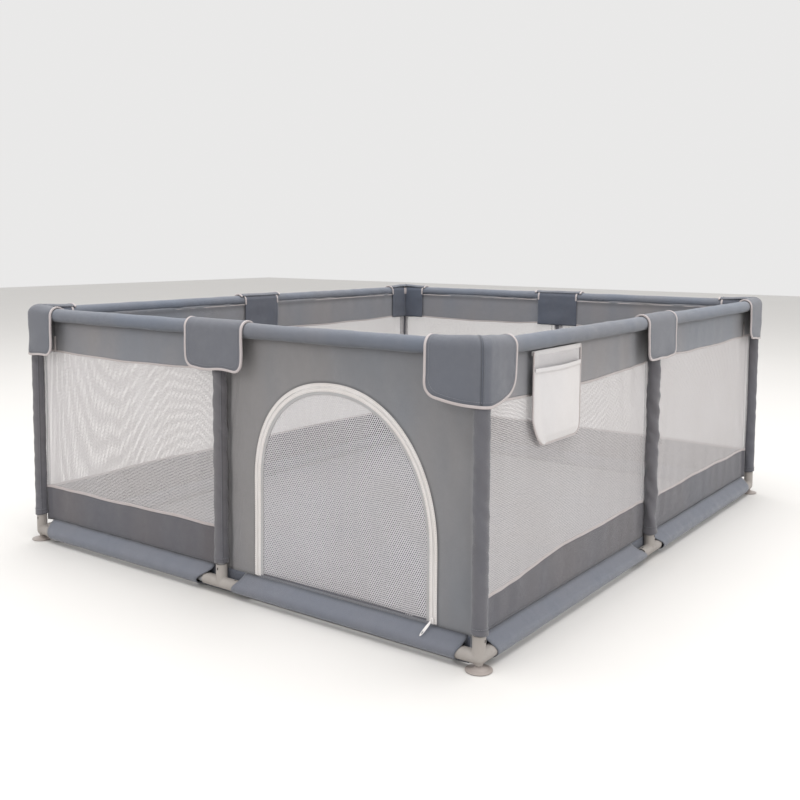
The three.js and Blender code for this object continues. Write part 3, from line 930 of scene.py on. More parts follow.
class PlaypenPostSleeves(bpy.types.Operator):
    """Makes the sleeve round each post, its seam and the hem at its foot"""

    bl_idname = "playpen.post_sleeves"
    bl_label = "Post Sleeves"

    def execute(self, context):
        for index, (name, (side, at_end)) in enumerate(POSTS.items()):
            slack = 0.6 if at_end else 1.9 if side == "right" else 1.0
            self.sleeve(name, side, at_end * SIDES[side][1], slack, 900 + index)
        return {"FINISHED"}

    def sleeve(self, name, side, u_post, slack, seed):
        """Radius r(z, angle): a slack tube of cloth with slanting puckers, flared at its foot."""
        z = np.linspace(POST_LOW, POST_HIGH, 130)[:, None]
        angle = np.linspace(0, 2 * math.pi, 48, endpoint=False)[None]
        seam_angle = math.radians(50)
        near_seam = round_bump(angle, seam_angle, 0.5)
        puckers = round_ripples(seed, z, angle, (0.035, 0.16), (1, 4), 8)
        small = round_ripples(seed + 50, z, angle, (0.02, 0.05), (2, 5), 6)
        foot = bump(z, POST_LOW, 0.018)
        radius = 0.0165 + 0.00085 * slack * puckers + 0.0003 * small * (1 + near_seam) + 0.0012 * foot
        radius = radius + 0.0010 * near_seam * (0.6 + 0.4 * np.sin(2 * math.pi * z / 0.021 + seed))
        radius = radius + 0.0012 * (slack - 0.6) * smooth_step(POST_LOW + 0.05 - z, 0, 0.05)
        u, w = u_post + radius * np.sin(angle), radius * np.cos(angle)
        z = z + 0.004 * slack * np.sin(angle - seed) * smooth_step(POST_LOW + 0.07 - z, 0, 0.07)
        # painted shade beside the seam, in the pucker hollows and along the hem fold
        painted_shade = 0.55 * round_bump(angle, seam_angle + 0.14, 0.07)
        painted_shade = painted_shade + 0.3 * np.clip(-puckers, 0, 2) * 0.3 + 0.4 * bump(z, POST_LOW + 0.013, 0.0016)
        points = on_side(side, u, w, z)
        obj = cloth(f"post_sleeve_{name}", points, "post cloth", "oxford_cloth", thickness=0.0012,
                    wrap=(False, True), facing=None, shade=np.broadcast_to(painted_shade, u.shape))
        line = np.linspace(POST_LOW + 0.02, POST_HIGH - 0.01, 80)
        out = direction(side, math.sin(seam_angle), math.cos(seam_angle), 0)
        path = on_side(side, u_post + 0.0179 * math.sin(seam_angle), 0.0179 * math.cos(seam_angle), line)
        seam(f"post_stitches_{name}", path, out)
        hem_r, hem_z = 0.0185, POST_LOW + 0.0145
        ring_path = on_side(side, u_post + hem_r * np.sin(angle[0]), hem_r * np.cos(angle[0]), hem_z)
        outward = unit(ring_path - on_side(side, u_post, 0, hem_z))
        seam(f"post_hem_stitches_{name}", ring_path, outward, closed=True)


def inflated(mesh, held, pressure, cap):
    """Where the points of a closed cloth mesh end up after it is blown up with the Cloth modifier,
    with the held points fixed and no point moving further than the cap."""
    start = mesh_points(mesh)
    scene = bpy.context.scene
    obj = bpy.data.objects.new("swelling", mesh)
    scene.collection.objects.link(obj)
    group = obj.vertex_groups.new(name="held")
    group.add([int(k) for k in np.flatnonzero(held)], 1.0, "REPLACE")
    modifier = obj.modifiers.new("Cloth", "CLOTH")
    settings = modifier.settings
    settings.quality = 6
    settings.mass = 0.2
    settings.tension_stiffness = settings.compression_stiffness = 10
    settings.shear_stiffness = 5
    settings.bending_stiffness = 0.4
    settings.use_pressure = True
    settings.uniform_pressure_force = pressure
    settings.vertex_group_mass = "held"
    settings.effector_weights.gravity = 0
    modifier.collision_settings.use_collision = False
    modifier.point_cache.frame_start, modifier.point_cache.frame_end = 1, 20
    for step in range(1, 21):
        scene.frame_set(step)
    move = mesh_points(obj.evaluated_get(bpy.context.evaluated_depsgraph_get()).data) - start
    scene.frame_set(1)
    bpy.data.objects.remove(obj)
    size = np.linalg.norm(move, axis=1, keepdims=True)
    return start + move * np.minimum(1, cap / np.maximum(size, 1e-9))


# distances of a pad's ends from the corner post's axis and the middle post's axis
PAD_GAPS = (0.078, 0.070)


class PlaypenRailPads(bpy.types.Operator):
    """Makes the foam-filled tube of cloth round each top rail"""

    bl_idname = "playpen.rail_pads"
    bl_label = "Rail Pads"

    def execute(self, context):
        sizes = context.scene.playpen_sizes
        made = {}
        for side in SIDES:
            for end in ENDS:
                start, stop = panel_span(side, end, *PAD_GAPS)
                key = (SIDES[side][1], end)
                if key not in made:
                    made[key] = self.pad(start, stop, sizes.pad_radius, seed_of(side, end, 6))
                points, shade = made[key]
                u, w, z = np.moveaxis(points, -1, 0)
                name = f"rail_pad_{side}_{end}"
                mesh = surface(name, on_side(side, u, w, z), (True, True), shade=shade)
                obj = piece(name, mesh, material("rail cloth"), "oxford_cloth", "frame")
                smooth = obj.modifiers.new("Smooth", "SUBSURF")
                smooth.levels = smooth.render_levels = 1
                line = np.linspace(start + 0.006, stop - 0.006, 90)
                lean = math.radians(222)
                r = sizes.pad_radius + 0.0004
                path = on_side(side, line, r * math.cos(lean), TOP_Z + r * math.sin(lean))
                strip(f"rail_piping_{side}_{end}", path, direction(side, 0, math.cos(lean), math.sin(lean)),
                      ring(0.0016, 8), "binding", "binding_cloth")
        return {"FINISHED"}

    def pad(self, start, stop, radius, seed):
        """A closed pad in side coordinates: the loop of outer face, end, bore and end, turned round the
        rail, and blown up with its bore and ends held."""
        bore = TUBE_R + 0.0013
        count = int((stop - start) / 0.006)
        u_out = np.linspace(start, stop, count)
        slim = radius - 0.0016
        outer = np.stack([u_out, np.full(count, slim)], -1)
        outer[[0, -1], 1] -= 0.0035
        outer[[1, -2], 1] -= 0.0008
        inner = np.stack([u_out[::-1], np.full(count, bore)], -1)
        ends = [[[stop, (slim + bore) / 2]], [[start, (slim + bore) / 2]]]
        loop = np.concatenate([outer, ends[0], inner, ends[1]])
        angle = np.linspace(0, 2 * math.pi, 30, endpoint=False)[None]
        u, r = loop[:, :1], loop[:, 1:]
        is_outer = (np.arange(len(loop)) < count)[:, None]
        lumps = round_ripples(seed, u, angle, (0.05, 0.3), (0, 3), 8)
        r = r + np.where(is_outer, 0.00045 * lumps, 0)
        points = np.stack(np.broadcast_arrays(u, r * np.cos(angle), TOP_Z + r * np.sin(angle)), -1)
        mesh = surface("pad", points, (True, True))
        held = np.broadcast_to(~is_outer, points.shape[:2]).ravel()
        blown = inflated(mesh, held, 4.0, 0.0028).reshape(points.shape)
        # painted shade on the pad's underside, inner and outer, deeper in its puckers
        under = round_bump(angle, math.radians(218), 0.35)
        puckers = np.clip(round_ripples(seed + 3, u, angle, (0.01, 0.03), (0, 2), 6), 0, 2)
        outside = round_bump(angle, math.radians(296), 0.55)
        shade = np.clip(0.7 * under + 0.4 * under * puckers + 0.6 * outside, 0, 1) * is_outer
        tilt = round_bump(angle, math.radians(225), 0.5) * is_outer
        blown[..., 2] += 0.0006 * puckers * tilt
        return blown, np.broadcast_to(shade, points.shape[:2])


# ---------------------------------------------------------------- door


def arch(inset, low=None):
    """The doorway's outline in (u, z), moved inward by inset: up the left leg, over the lopsided top,
    which is a quarter of a superellipse on each side of the crown, and down the right leg."""
    foot = DOOR_LOW[2] + 0.001 if low is None else low
    turn = np.linspace(0, math.pi / 2, 90)
    halves = []
    for sign, half, rise, power in ARCHES:
        across = (half - inset) * np.cos(turn) ** (2 / power)
        up = rise + (DOOR_TOP - inset - rise) * np.sin(turn) ** (2 / power)
        leg = np.linspace(foot, rise, 60)[:-1]
        u = DOOR_U + sign * np.concatenate([np.full(59, half - inset), across])
        halves.append(np.stack([u, np.concatenate([leg, up])], -1))
    left, right = halves
    return resampled(np.concatenate([left, right[-2::-1]]), 260)


def door_drift(line):
    """Sideways slackness of the zip, strongest halfway up the left leg."""
    u, z = line.T
    left = np.clip((DOOR_U - u) / ARCHES[0][1], 0, 1)
    wave = np.sin((z - DOOR_LOW[2]) / 0.11) * smooth_step(z, DOOR_LOW[2], DOOR_LOW[2] + 0.1)
    return np.stack([u + 0.0016 * left * wave, z], -1)


def on_door(line, out=0.0):
    """Points of the front side at door places (u, z), proud of the cloth by out."""
    return on_side("front", line[:, 0], WALL_W + out, line[:, 1])


class PlaypenDoorPanel(bpy.types.Operator):
    """Makes the solid cloth panel round the doorway"""

    bl_idname = "playpen.door_panel"
    bl_label = "Door Panel"

    def execute(self, context):
        """Points between the arch and the panel's edge, along rays: level beside the legs, and out
        from below the crown, at the height where that side's leg ends, above them."""
        start, stop = panel_span("front", "right", CORNER_CLOTH, 0.0)
        top = TOP_Z - 0.007
        inner = door_drift(arch(-DOOR_GAP, SEAM_Z - 0.002))
        u, z = inner.T
        rise = np.where(u < DOOR_U, ARCHES[0][2], ARCHES[1][2])
        ray_z = np.maximum(z - rise, 0)
        ray_u = np.where(np.abs(u - DOOR_U) < 1e-6, 1e-6, u - DOOR_U)
        room = np.where(ray_u < 0, DOOR_U - start, stop - DOOR_U)
        scale = np.minimum(room / np.abs(ray_u), (top - rise) / np.maximum(ray_z, 1e-6))
        outer = np.stack([DOOR_U + ray_u * scale, np.where(ray_z > 0, rise + ray_z * scale, z)], -1)
        s = np.linspace(0, 1, 46)[None, :, None]
        grid = inner[:, None] + (outer - inner)[:, None] * s
        u, z = np.moveaxis(grid, -1, 0)
        depth = context.scene.playpen_sizes.fold_depth
        loose = smooth_step(s[..., 0], 0, 0.2) * smooth_step(z, SEAM_Z, SEAM_Z + 0.05)
        folds = ripples(71, u, z, (0.05, 0.2), (-0.5, 0.5), 9)
        drag = ripples(72, u, z, (0.09, 0.3), (0.5, 1.2), 6)
        by_post = bump(u, 0.03, 0.03) * ripples(73, u, z, (0.014, 0.05), (-0.2, 0.2), 6)
        w = WALL_W + to_post("front", u) + depth * loose * (0.7 * folds + 0.8 * drag + 0.7 * by_post)
        shade = 0.35 * bump(z, TOP_Z - 0.012, 0.012) + 0.75 * bump(u, start + 0.020, 0.005)
        rim_gap = np.hypot(u - grid[:, :1, 0], z - grid[:, :1, 1])
        shade = shade + 0.5 * bump(z, SEAM_Z, 0.004) + 0.5 * bump(rim_gap, 0.011, 0.0025)
        obj = cloth("door_panel", on_side("front", u, w, z), "door panel cloth", "oxford_cloth", offset=0.0,
                    facing=direction("front", 0, 1, 0), shade=shade, uv=grid)
        return {"FINISHED"}


class PlaypenDoorFlap(bpy.types.Operator):
    """Makes the netting of the door and the narrow hem that joins it to the zip"""

    bl_idname = "playpen.door_flap"
    bl_label = "Door Flap"

    def execute(self, context):
        """Rows run up, each from the arch's left side to its right side at its own height."""
        inset = 0.010
        low = DOOR_LOW[2] + 0.004
        edge = arch(inset, low)
        top = int(edge[:, 1].argmax())
        crown = edge[top, 1]
        z = low + (crown - low) * np.sin(np.linspace(0, math.pi / 2, 90)) ** 0.9
        left = np.interp(z, edge[: top + 1, 1], edge[: top + 1, 0])[:, None]
        right = np.interp(z, edge[top:, 1][::-1], edge[top:, 0][::-1])[:, None]
        s = np.linspace(0, 1, 76)[None]
        u = left + (right - left) * s
        z = np.broadcast_to(z[:, None], u.shape)
        inside = np.minimum(np.minimum(u - left, right - u) / 0.06, (crown - z) / 0.05)
        w = WALL_W - 0.0008 + 0.0022 * smooth_step(inside, 0, 1) * ripples(81, u, z, (0.15, 0.4), count=7)
        obj = cloth("door_net", on_side("front", u, w, z), "door netting", "mesh_cloth", "door_flap", 0.0006,
                    offset=0.0, facing=direction("front", 0, 1, 0), uv=np.stack([u, z], -1), poles=True,
                    replaces=("door_flap",))
        hem = door_drift(arch(0.0128, low))
        strip("door_net_hem", on_door(hem, 0.0006), direction("front", 0, 1, 0), slab_profile(0.0080, 0.0016),
              "net hem", "binding_cloth", "door_flap")
        foot = on_side("front", np.linspace(edge[0, 0], edge[-1, 0], 80), WALL_W, low + 0.0008)
        strip("door_foot_hem", foot, direction("front", 0, 1, 0), slab_profile(0.0034, 0.0018),
              "lower band cloth", "oxford_cloth", "door_flap")
        seam("door_hem_stitches", on_door(door_drift(arch(0.0155, low)), 0.0018), direction("front", 0, 1, 0),
             "pale thread", "mesh_cloth", "door_flap")
        return {"FINISHED"}


class PlaypenDoorZip(bpy.types.Operator):
    """Makes the two tapes of the door's zip and the coil of teeth on each"""

    bl_idname = "playpen.door_zip"
    bl_label = "Door Zip"

    def execute(self, context):
        out = direction("front", 0, 1, 0)
        width = context.scene.playpen_sizes.zip_width / 2
        for name, body, inset in (("outer", "frame", -1), ("inner", "door_flap", 1)):
            middle_line = door_drift(arch(inset * (0.0006 + width / 2)))
            strip(f"zip_tape_{name}", on_door(middle_line, 0.0018), out, slab_profile(width, 0.0014),
                  "zip tape", "zip_tape", body)
            coil = door_drift(arch(inset * 0.0015))
            teeth = stitches(f"zip_coil_{name}", on_door(coil, 0.0030), out, 0.0021, 0.0026, 0.0011,
                             turned=True)
            piece(f"zip_coil_{name}", teeth, material("zip coil"), "zip_plastic", body)
            edge = door_drift(arch(inset * (width - 0.0014)))
            seam(f"zip_stitches_{name}", on_door(edge, 0.0027), out, "pale thread", "zip_tape", body)
        return {"FINISHED"}


def blob(centre, half, right, up, power=(0.5, 0.5), rows=18, columns=28):
    """A rounded block: the superellipsoid with the given half sizes along right, up and across."""
    right, up = unit(np.asarray(right, float)), unit(np.asarray(up, float))
    ahead = np.cross(right, up)
    a = np.linspace(-math.pi / 2, math.pi / 2, rows)[:, None]
    b = np.linspace(0, 2 * math.pi, columns, endpoint=False)[None]

    def swing(x, p):
        return np.sign(x) * np.abs(x) ** p

    x = swing(np.cos(a), power[0]) * swing(np.cos(b), power[1]) * half[0]
    y = swing(np.cos(a), power[0]) * swing(np.sin(b), power[1]) * half[1]
    z = np.broadcast_to(swing(np.sin(a), power[0]) * half[2], x.shape)
    return centre + x[..., None] * right + y[..., None] * up + z[..., None] * ahead


class PlaypenZipSlider(bpy.types.Operator):
    """Makes the zip's slider, its bridge and its pull"""

    bl_idname = "playpen.zip_slider"
    bl_label = "Zip Slider"

    def execute(self, context):
        low = box("zip_slider")[0]
        u = DOOR_HIGH[0] + DOOR_GAP
        front = -(low[1] + HALF_Y)
        side = "front"
        right, up, out = direction(side, 1, 0, 0), np.array([0.0, 0, 1]), direction(side, 0, 1, 0)
        body_z = DOOR_LOW[2] + 0.008
        body = blob(on_side(side, u, WALL_W + 0.0052, body_z), (0.0045, 0.0066, 0.0022), right, up,
                    (0.5, 0.7))
        piece("zip_slider_body", surface("zip_slider_body", body, (False, True), poles=True),
              material("zip coil"), "zip_plastic", "zip_slider", ("zip_slider",))
        hoop = np.linspace(0, math.pi, 14)
        bridge = on_side(side, u, WALL_W + 0.0068 + 0.0028 * np.sin(hoop), body_z - 0.0045 * np.cos(hoop))
        strip("zip_slider_bridge", bridge, right, ring(0.0010, 8), "zip coil", "zip_plastic", "zip_slider")
        pivot = on_side(side, u, WALL_W + 0.0085, body_z)
        foot = np.array([low[0] + 0.0035, -HALF_Y - front + 0.0012, low[2] + 0.002])
        down = foot - pivot
        reach = np.linalg.norm(down)
        down = down / reach
        across = unit(np.cross(down, out))
        normal = np.cross(across, down)
        t = np.linspace(0, 2 * math.pi, 56, endpoint=False)[:, None]
        q = np.linspace(0, 2 * math.pi, 10, endpoint=False)[None]
        outline = np.stack([0.0031 * np.sign(np.cos(t)) * np.abs(np.cos(t)) ** 0.7,
                            reach / 2 * np.sin(t)], -1)
        hole = np.stack([0.0012 * np.cos(t), 0.0032 * np.sin(t) - reach * 0.28], -1)
        share = (1 - np.cos(q)) / 2
        flat = outline * (1 - share[..., None]) + hole * share[..., None]
        thick = 0.0009 * np.sin(q) * np.ones_like(t)
        centre = pivot + down * reach / 2
        tab = centre + flat[..., :1] * across - flat[..., 1:] * down + thick[..., None] * normal
        piece("zip_pull", surface("zip_pull", tab, (True, True)), material("zip coil"), "zip_plastic",
              "zip_slider")
        return {"FINISHED"}


# ---------------------------------------------------------------- joint covers

# how far a cover wraps over its rail, at which radius, and how round its lower corners are
COVER_SWEEP = math.radians(135)
COVER_R = 0.0232
TIP_ROUND = 0.024
CORNER_BEND = 0.022


def hooked(z_low, count, radius):
    """The cover's section, from its lower edge straight up and then over the rail: distance out and
    height, at even steps for each column's own lower edge."""
    straight = TOP_Z - z_low
    total = straight + radius * COVER_SWEEP
    at = np.linspace(0, 1, count) * total
    turn = np.clip((at - straight) / radius, 0, COVER_SWEEP)
    out = radius * np.cos(turn)
    z = np.where(at < straight, z_low + at, TOP_Z + radius * np.sin(turn))
    return out, z


def rounded_low(reach, half, low, corner=TIP_ROUND):
    """Height of a cover's lower edge at a distance from its middle, rounded up towards its side."""
    over = np.clip(reach - (half - corner), 0, corner)
    return low + corner - np.sqrt(np.maximum(corner**2 - over**2, 0))


def mid_cover(side, inset, lift, seed):
    """Grid of a middle cover, with its edge moved in by inset and its face out by lift."""
    half = COVER_HALF - inset
    ease = np.sin(np.linspace(-math.pi / 2, math.pi / 2, 56))
    u = (half * (0.55 * ease + 0.45 * np.linspace(-1, 1, 56)))[:, None]
    wave = 0.0016 * ripples(seed, u, 0, (0.05, 0.12), count=4)
    low = rounded_low(np.abs(u), half, COVER_LOW_MID + inset) + wave
    out, z = hooked(low, 44, COVER_R + lift)
    hang = smooth_step(TOP_Z - z, 0.0, 0.06)
    soft = ripples(seed + 1, u, z, (0.05, 0.18), count=8)
    puff = 0.0012 * (1 - (u / COVER_HALF) ** 2)
    return on_side(side, u, out + hang * (0.0010 * soft + puff), z + (1 - hang) * 0.0005 * soft)


# how much longer each wing hangs than it was cut, how far its foot leans out, and how much higher its
# lower edge is at the wing's end than at the corner: first the wing on the side that CORNERS names for
# the corner, then the other
WINGS = {
    "front_right": ((-0.019, -0.004, 0.022), (0.008, 0.003, 0.014)),
    "front_left": ((-0.019, 0.001, 0.002), (0.003, 0.002, 0.010)),
    "back_right": ((0.003, 0.002, 0.014), (-0.004, 0.001, 0.010)),
    "back_left": ((-0.004, 0.001, 0.012), (0.002, 0.003, 0.016)),
}
WING_ROWS, BEND_ROWS = 34, 11
SEAM_ROW = WING_ROWS + BEND_ROWS - 4


def corner_cover(corner, inset, lift, seed):
    """Grid of a corner cover: along one wing, round the corner on a quarter circle and along the other,
    by the hooked section. It hangs lowest at the corner and stands a little proud of it on top."""
    side = CORNERS[corner]
    outward = SIDES[side][0]
    along, inward = np.array([-outward[1], outward[0]]), -outward
    post = -along * SIDES[side][1] + outward * SIDES[side][2]
    even = np.linspace(0, 1, WING_ROWS)
    run = 0.5 * even + 0.25 * (1 - np.cos(math.pi * even))
    turn = np.linspace(0, math.pi / 2, BEND_ROWS + 2)[1:-1]
    t = np.concatenate([1 - run, np.zeros(BEND_ROWS), run])
    angle = np.concatenate([np.zeros(WING_ROWS), turn, np.full(WING_ROWS, math.pi / 2)])[:, None]
    row = np.arange(len(t))
    first, last = row < WING_ROWS, row >= WING_ROWS + BEND_ROWS
    (slip_a, lean_a, rise_a), (slip_b, lean_b, rise_b) = WINGS[corner]
    arm = COVER_ARM - inset + np.where(first, slip_a, slip_b)
    lean = np.where(first, lean_a, np.where(last, lean_b, 0)) * smooth_step(t, 0, 0.6)
    distance = row * 0.004
    low = rounded_low(arm * t, arm, COVER_LOW_CORNER + inset) + np.where(first, rise_a, rise_b) * t**1.5
    low = (low + 0.0012 * ripples(seed, distance, 0, (0.05, 0.12), count=4))[:, None]
    out, z = hooked(low, 48, COVER_R + lift)
    hang = smooth_step(TOP_Z - z, 0.0, 0.06)
    t, arm, first, last = t[:, None], arm[:, None], first[:, None], last[:, None]
    out = out + hang * 0.0010 * ripples(seed + 1, distance[:, None], z, (0.05, 0.18), count=8)
    out = out + lean[:, None] * smooth_step(TOP_Z - z, 0.0, 0.11)
    z = z + 0.0035 * (1 - smooth_step(TOP_Z - z, -0.02, 0.01)) * bump(t, 0, 0.45)
    centre = CORNER_BEND - out
    on_wing = centre + (arm - centre) * t
    x = np.where(first, on_wing, np.where(last, -out, centre - CORNER_BEND * np.sin(angle)))
    y = np.where(last, on_wing, np.where(first, -out, centre - CORNER_BEND * np.cos(angle)))
    place = post + x[..., None] * along + y[..., None] * inward
    return np.concatenate([place, z[..., None]], -1)


def rim(grid):
    """The closed path round a grid's edge."""
    return np.concatenate([grid[:, 0], grid[-1, 1:], grid[-2::-1, -1], grid[0, -2:0:-1]])


def hem_line(grid):
    """The open path down one side of a cover's grid, along its lower edge and up the other side."""
    return np.concatenate([grid[0, :0:-1], grid[:, 0], grid[-1, 1:]])


def grid_normals(grid, outward_from):
    """Unit normals of a grid of points, turned away from a point."""
    a, b = np.gradient(grid, axis=0), np.gradient(grid, axis=1)
    normal = unit(np.cross(a, b))
    sign = np.sign(np.einsum("ijk,ijk->ij", normal, grid - outward_from))
    return normal * np.where(sign.sum() < 0, -1, 1)


class PlaypenCovers(bpy.types.Operator):
    """Makes the eight padded covers over the top joints, with their bindings and stitching"""

    bl_idname = "playpen.covers"
    bl_label = "Joint Covers"

    def execute(self, context):
        for index, side in enumerate(SIDES):
            self.cover(side, lambda inset, lift: mid_cover(side, inset, lift, 300 + index), None)
        for index, corner in enumerate(CORNERS):
            self.cover(corner, lambda inset, lift: corner_cover(corner, inset, lift, 340 + index), SEAM_ROW)
        return {"FINISHED"}

    def cover(self, name, shape, seam_row):
        grid = shape(0.0, 0.0)
        rows, columns = grid.shape[:2]
        core = 0.9 * grid.reshape(-1, 3).mean(0)
        normals = grid_normals(grid, core)
        down = np.linspace(0, 1, columns)[None]
        s = np.linspace(0, 1, rows)[:, None]
        edge = np.minimum(np.minimum(s, 1 - s) * 0.2, down * 0.15)
        shade = 0.4 * bump(edge, 0.0, 0.006) + 0 * edge
        if seam_row is not None:
            shade = shade + 0.95 * bump(np.arange(rows)[:, None], seam_row + 0.3, 0.8) * np.ones_like(down)
        body = f"cover_{name}"
        obj = cloth(f"joint_cover_{name}", grid, "cover cloth", "oxford_cloth", body, 0.0030,
                    facing=normals.reshape(-1, 3).mean(0), shade=np.clip(shade, 0, 1), replaces=(body,))
        tall = float(np.linalg.norm(np.diff(grid[rows // 4], axis=0), axis=1).sum())
        wide = float(np.linalg.norm(np.diff(grid[:, columns // 2], axis=0), axis=1).sum())
        width = bpy.context.scene.playpen_sizes.binding_width
        edge_line = resampled(np.concatenate([hem_line(grid), hem_line(normals)], 1), pitch=0.004)
        path, turned = edge_line[:, :3], unit(edge_line[:, 3:])
        strip(f"cover_binding_{name}", path - 0.0013 * turned, turned,
              slab_profile(width * 0.85, 0.0050), "binding", "binding_cloth", body)
        inner = shape(0.0095, 0.0006)
        inner_normals = grid_normals(inner, core)
        seam(f"cover_stitches_{name}", rim(inner), unit(rim(inner_normals)), body=body, closed=True)
        if seam_row is not None:
            # painted shade: the dark cord in lining cloth stands for the shade in the corner seam's crease;
            # the piping beside it is real
            for kind, row, radius, finish, slot in (
                ("seam", seam_row, 0.0010, "shaded lining cloth", "oxford_cloth"),
                ("piping", seam_row - 1, 0.0006, "cover cloth", "oxford_cloth"),
            ):
                fold, out = grid[row, 2:-2], normals[row, 2:-2]
                strip(f"cover_corner_{kind}_{name}", fold, out, ring(radius, 8), finish, slot, body)


def turned_by(w, z):
    """Angle round a top rail's axis."""
    return np.arctan2(z - TOP_Z, w)


LINING_R = 0.0201
LINING_TOP = math.radians(122)


class PlaypenLinings(bpy.types.Operator):
    """Makes the cloth inside the pen behind each joint cover, coloured darker as painted shade"""

    bl_idname = "playpen.linings"
    bl_label = "Cover Linings"

    def execute(self, context):
        """The section runs straight up inside the wall and then over the rail, up to the cover's hook.
        A corner lining stops on the diagonal, where it meets its neighbour."""
        low = COVER_LOW_CORNER + 0.004
        turn = np.linspace(math.pi, LINING_TOP, 12)
        rise = np.linspace(low, TOP_Z, 20)[:-1]
        w_line = np.concatenate([np.full(19, -LINING_R), LINING_R * np.cos(turn)])
        z_line = np.concatenate([rise, TOP_Z + LINING_R * np.sin(turn)])
        for side in SIDES:
            half = SIDES[side][1]
            spans = {"middle": (-COVER_HALF + 0.012, COVER_HALF - 0.012),
                     "left": (-half, -half + COVER_ARM - 0.004),
                     "right": (half - COVER_ARM + 0.004, half)}
            for index, (place, (start, stop)) in enumerate(spans.items()):
                s = np.linspace(0, 1, 34)[:, None]
                first = np.maximum(start, -half + np.abs(w_line) + 0.0006)
                last = np.minimum(stop, half - np.abs(w_line) - 0.0006)
                u = first + (last - first) * s
                hang = smooth_step(TOP_Z - z_line, 0, 0.03)
                w = w_line + 0.0009 * hang * (ripples(400 + index, u, z_line, (0.04, 0.15), count=6) - 1)
                z = np.broadcast_to(z_line, u.shape)
                obj = cloth(f"cover_lining_{side}_{place}", on_side(side, u, w, z), "shaded lining cloth",
                            "oxford_cloth", thickness=0.0008, facing=direction(side, 0, -1, 0))
                over = z_line > TOP_Z - 0.014
                out = direction(side, 0, 1, 0) * np.cos(turned_by(w_line, z_line))[over, None]
                out = out + np.array([0, 0, 1]) * np.sin(turned_by(w_line, z_line))[over, None]
                for edge, place_u in (("first", first + 0.003), ("last", last - 0.003)):
                    path = on_side(side, place_u, w_line, z_line)[over]
                    strip(f"lining_binding_{side}_{place}_{edge}", path, out,
                          slab_profile(0.0062, 0.0030), "binding", "binding_cloth")
        return {"FINISHED"}


# ---------------------------------------------------------------- pocket and mat


class PlaypenPocket(bpy.types.Operator):
    """Makes the storage pocket: its back, its pouch, their bindings and its hems"""

    bl_idname = "playpen.pocket"
    bl_label = "Storage Pocket"

    CUT_HIGH, CUT_WIDE = 0.066, 0.055
    RIGHT_ROUND = 0.026
    RAISED = 0.009

    def span(self, z, inset=0.0):
        """Left and right edge of the pocket at a height: tapered at the lower left, rounded at the
        lower right."""
        low, high = box("storage_pocket")
        up = z - low[2] - self.RAISED - inset
        over_left = np.clip(1 - up / self.CUT_HIGH, 0, 1)
        over_right = np.clip(self.RIGHT_ROUND - up, 0, self.RIGHT_ROUND)
        left = low[1] + inset + self.CUT_WIDE * (0.6 * over_left**1.6 + 0.4 * (1 - np.sqrt(1 - over_left**2)))
        right = high[1] - inset - (self.RIGHT_ROUND - np.sqrt(self.RIGHT_ROUND**2 - over_right**2))
        return left, right

    def grid(self, start, stop, bulge, base, inset=0.0, columns=40, rows=50):
        """Rows from left to right edge at each height; the face stands out from its base by a crown
        that dies away at the edges, and the left edge hangs clear of the wall."""
        z = np.linspace(start + inset, stop, rows)[:, None]
        left, right = self.span(z, inset)
        s = np.linspace(0, 1, columns)[None]
        u = left + (right - left) * s
        t = (z - start) / (stop - start)
        crown = (4 * s * (1 - s)) ** 0.6 * np.clip(t / 0.12, 0, 1) ** 0.7
        fold = ripples(501, u, z, (0.04, 0.15), count=8)
        w = base + bulge * crown * (0.75 + 0.25 * np.sin(math.pi * np.clip(t, 0, 1))) + 0.0007 * crown * fold
        w = w + 0.0035 * smooth_step(1 - s, 0.85, 1.0)
        z = np.broadcast_to(z, u.shape)
        return u, w, z

    def execute(self, context):
        low, high = box("storage_pocket")
        hem = high[2] - 0.040
        back_w = low[0] - HALF_X + 0.0012
        out = direction("right", 0, 1, 0)
        width = context.scene.playpen_sizes.binding_width
        foot = low[2] + self.RAISED
        u, w, z = self.grid(foot, high[2], 0.0012, back_w)
        obj = cloth("pocket_back", on_side("right", u, w, z), "pocket netting", "mesh_cloth",
                    "storage_pocket", 0.0006, facing=out, uv=np.stack([u, z], -1),
                    replaces=("storage_pocket",))
        u, w, z = self.grid(foot, hem, 0.0115, back_w + 0.0012)
        bow = 4 * (u - low[1]) * (high[1] - u) / (high[1] - low[1]) ** 2
        sag = 0.002 * bow * smooth_step(z, hem - 0.04, hem)
        pouch = on_side("right", u, w, z - sag)
        obj = cloth("pocket_pouch", pouch, "pocket cloth", "mesh_cloth", "storage_pocket", 0.0008, facing=out,
                    uv=np.stack([u, z], -1))
        strip("pocket_hem", pouch[-1, 1:-1] + 0.0008 * out, out, slab_profile(0.009, 0.0026), "pocket cloth",
              "mesh_cloth", "storage_pocket")
        seam("pocket_hem_stitches", pouch[-3, 1:-1] + 0.0018 * out, out, "pale thread", "mesh_cloth",
             "storage_pocket")
        left, right = self.span(np.linspace(high[2] - 0.002, foot + 0.0003, 90))
        down = np.linspace(high[2] - 0.002, foot + 0.0003, 90)
        bottom = np.linspace(left[-1], right[-1], 40)[1:-1]
        line_u = np.concatenate([left, bottom, right[::-1]])
        line_z = np.concatenate([down, np.full(38, down[-1]), down[::-1]])
        lift = 0.0035 * (line_u < (low[1] + high[1]) / 2) * smooth_step(line_z, low[2] + 0.01, low[2] + 0.05)
        path = resampled(on_side("right", line_u, back_w + 0.0020 + lift, line_z), pitch=0.004)
        strip("pocket_binding", path, out, slab_profile(0.6 * width, 0.0030), "binding", "binding_cloth",
              "storage_pocket")
        top = on_side("right", np.linspace(low[1], high[1], 50), back_w + 0.0012, high[2] - 0.004)
        strip("pocket_top_hem", top, out, slab_profile(0.010, 0.0024), "pocket cloth", "mesh_cloth",
              "storage_pocket")
        return {"FINISHED"}


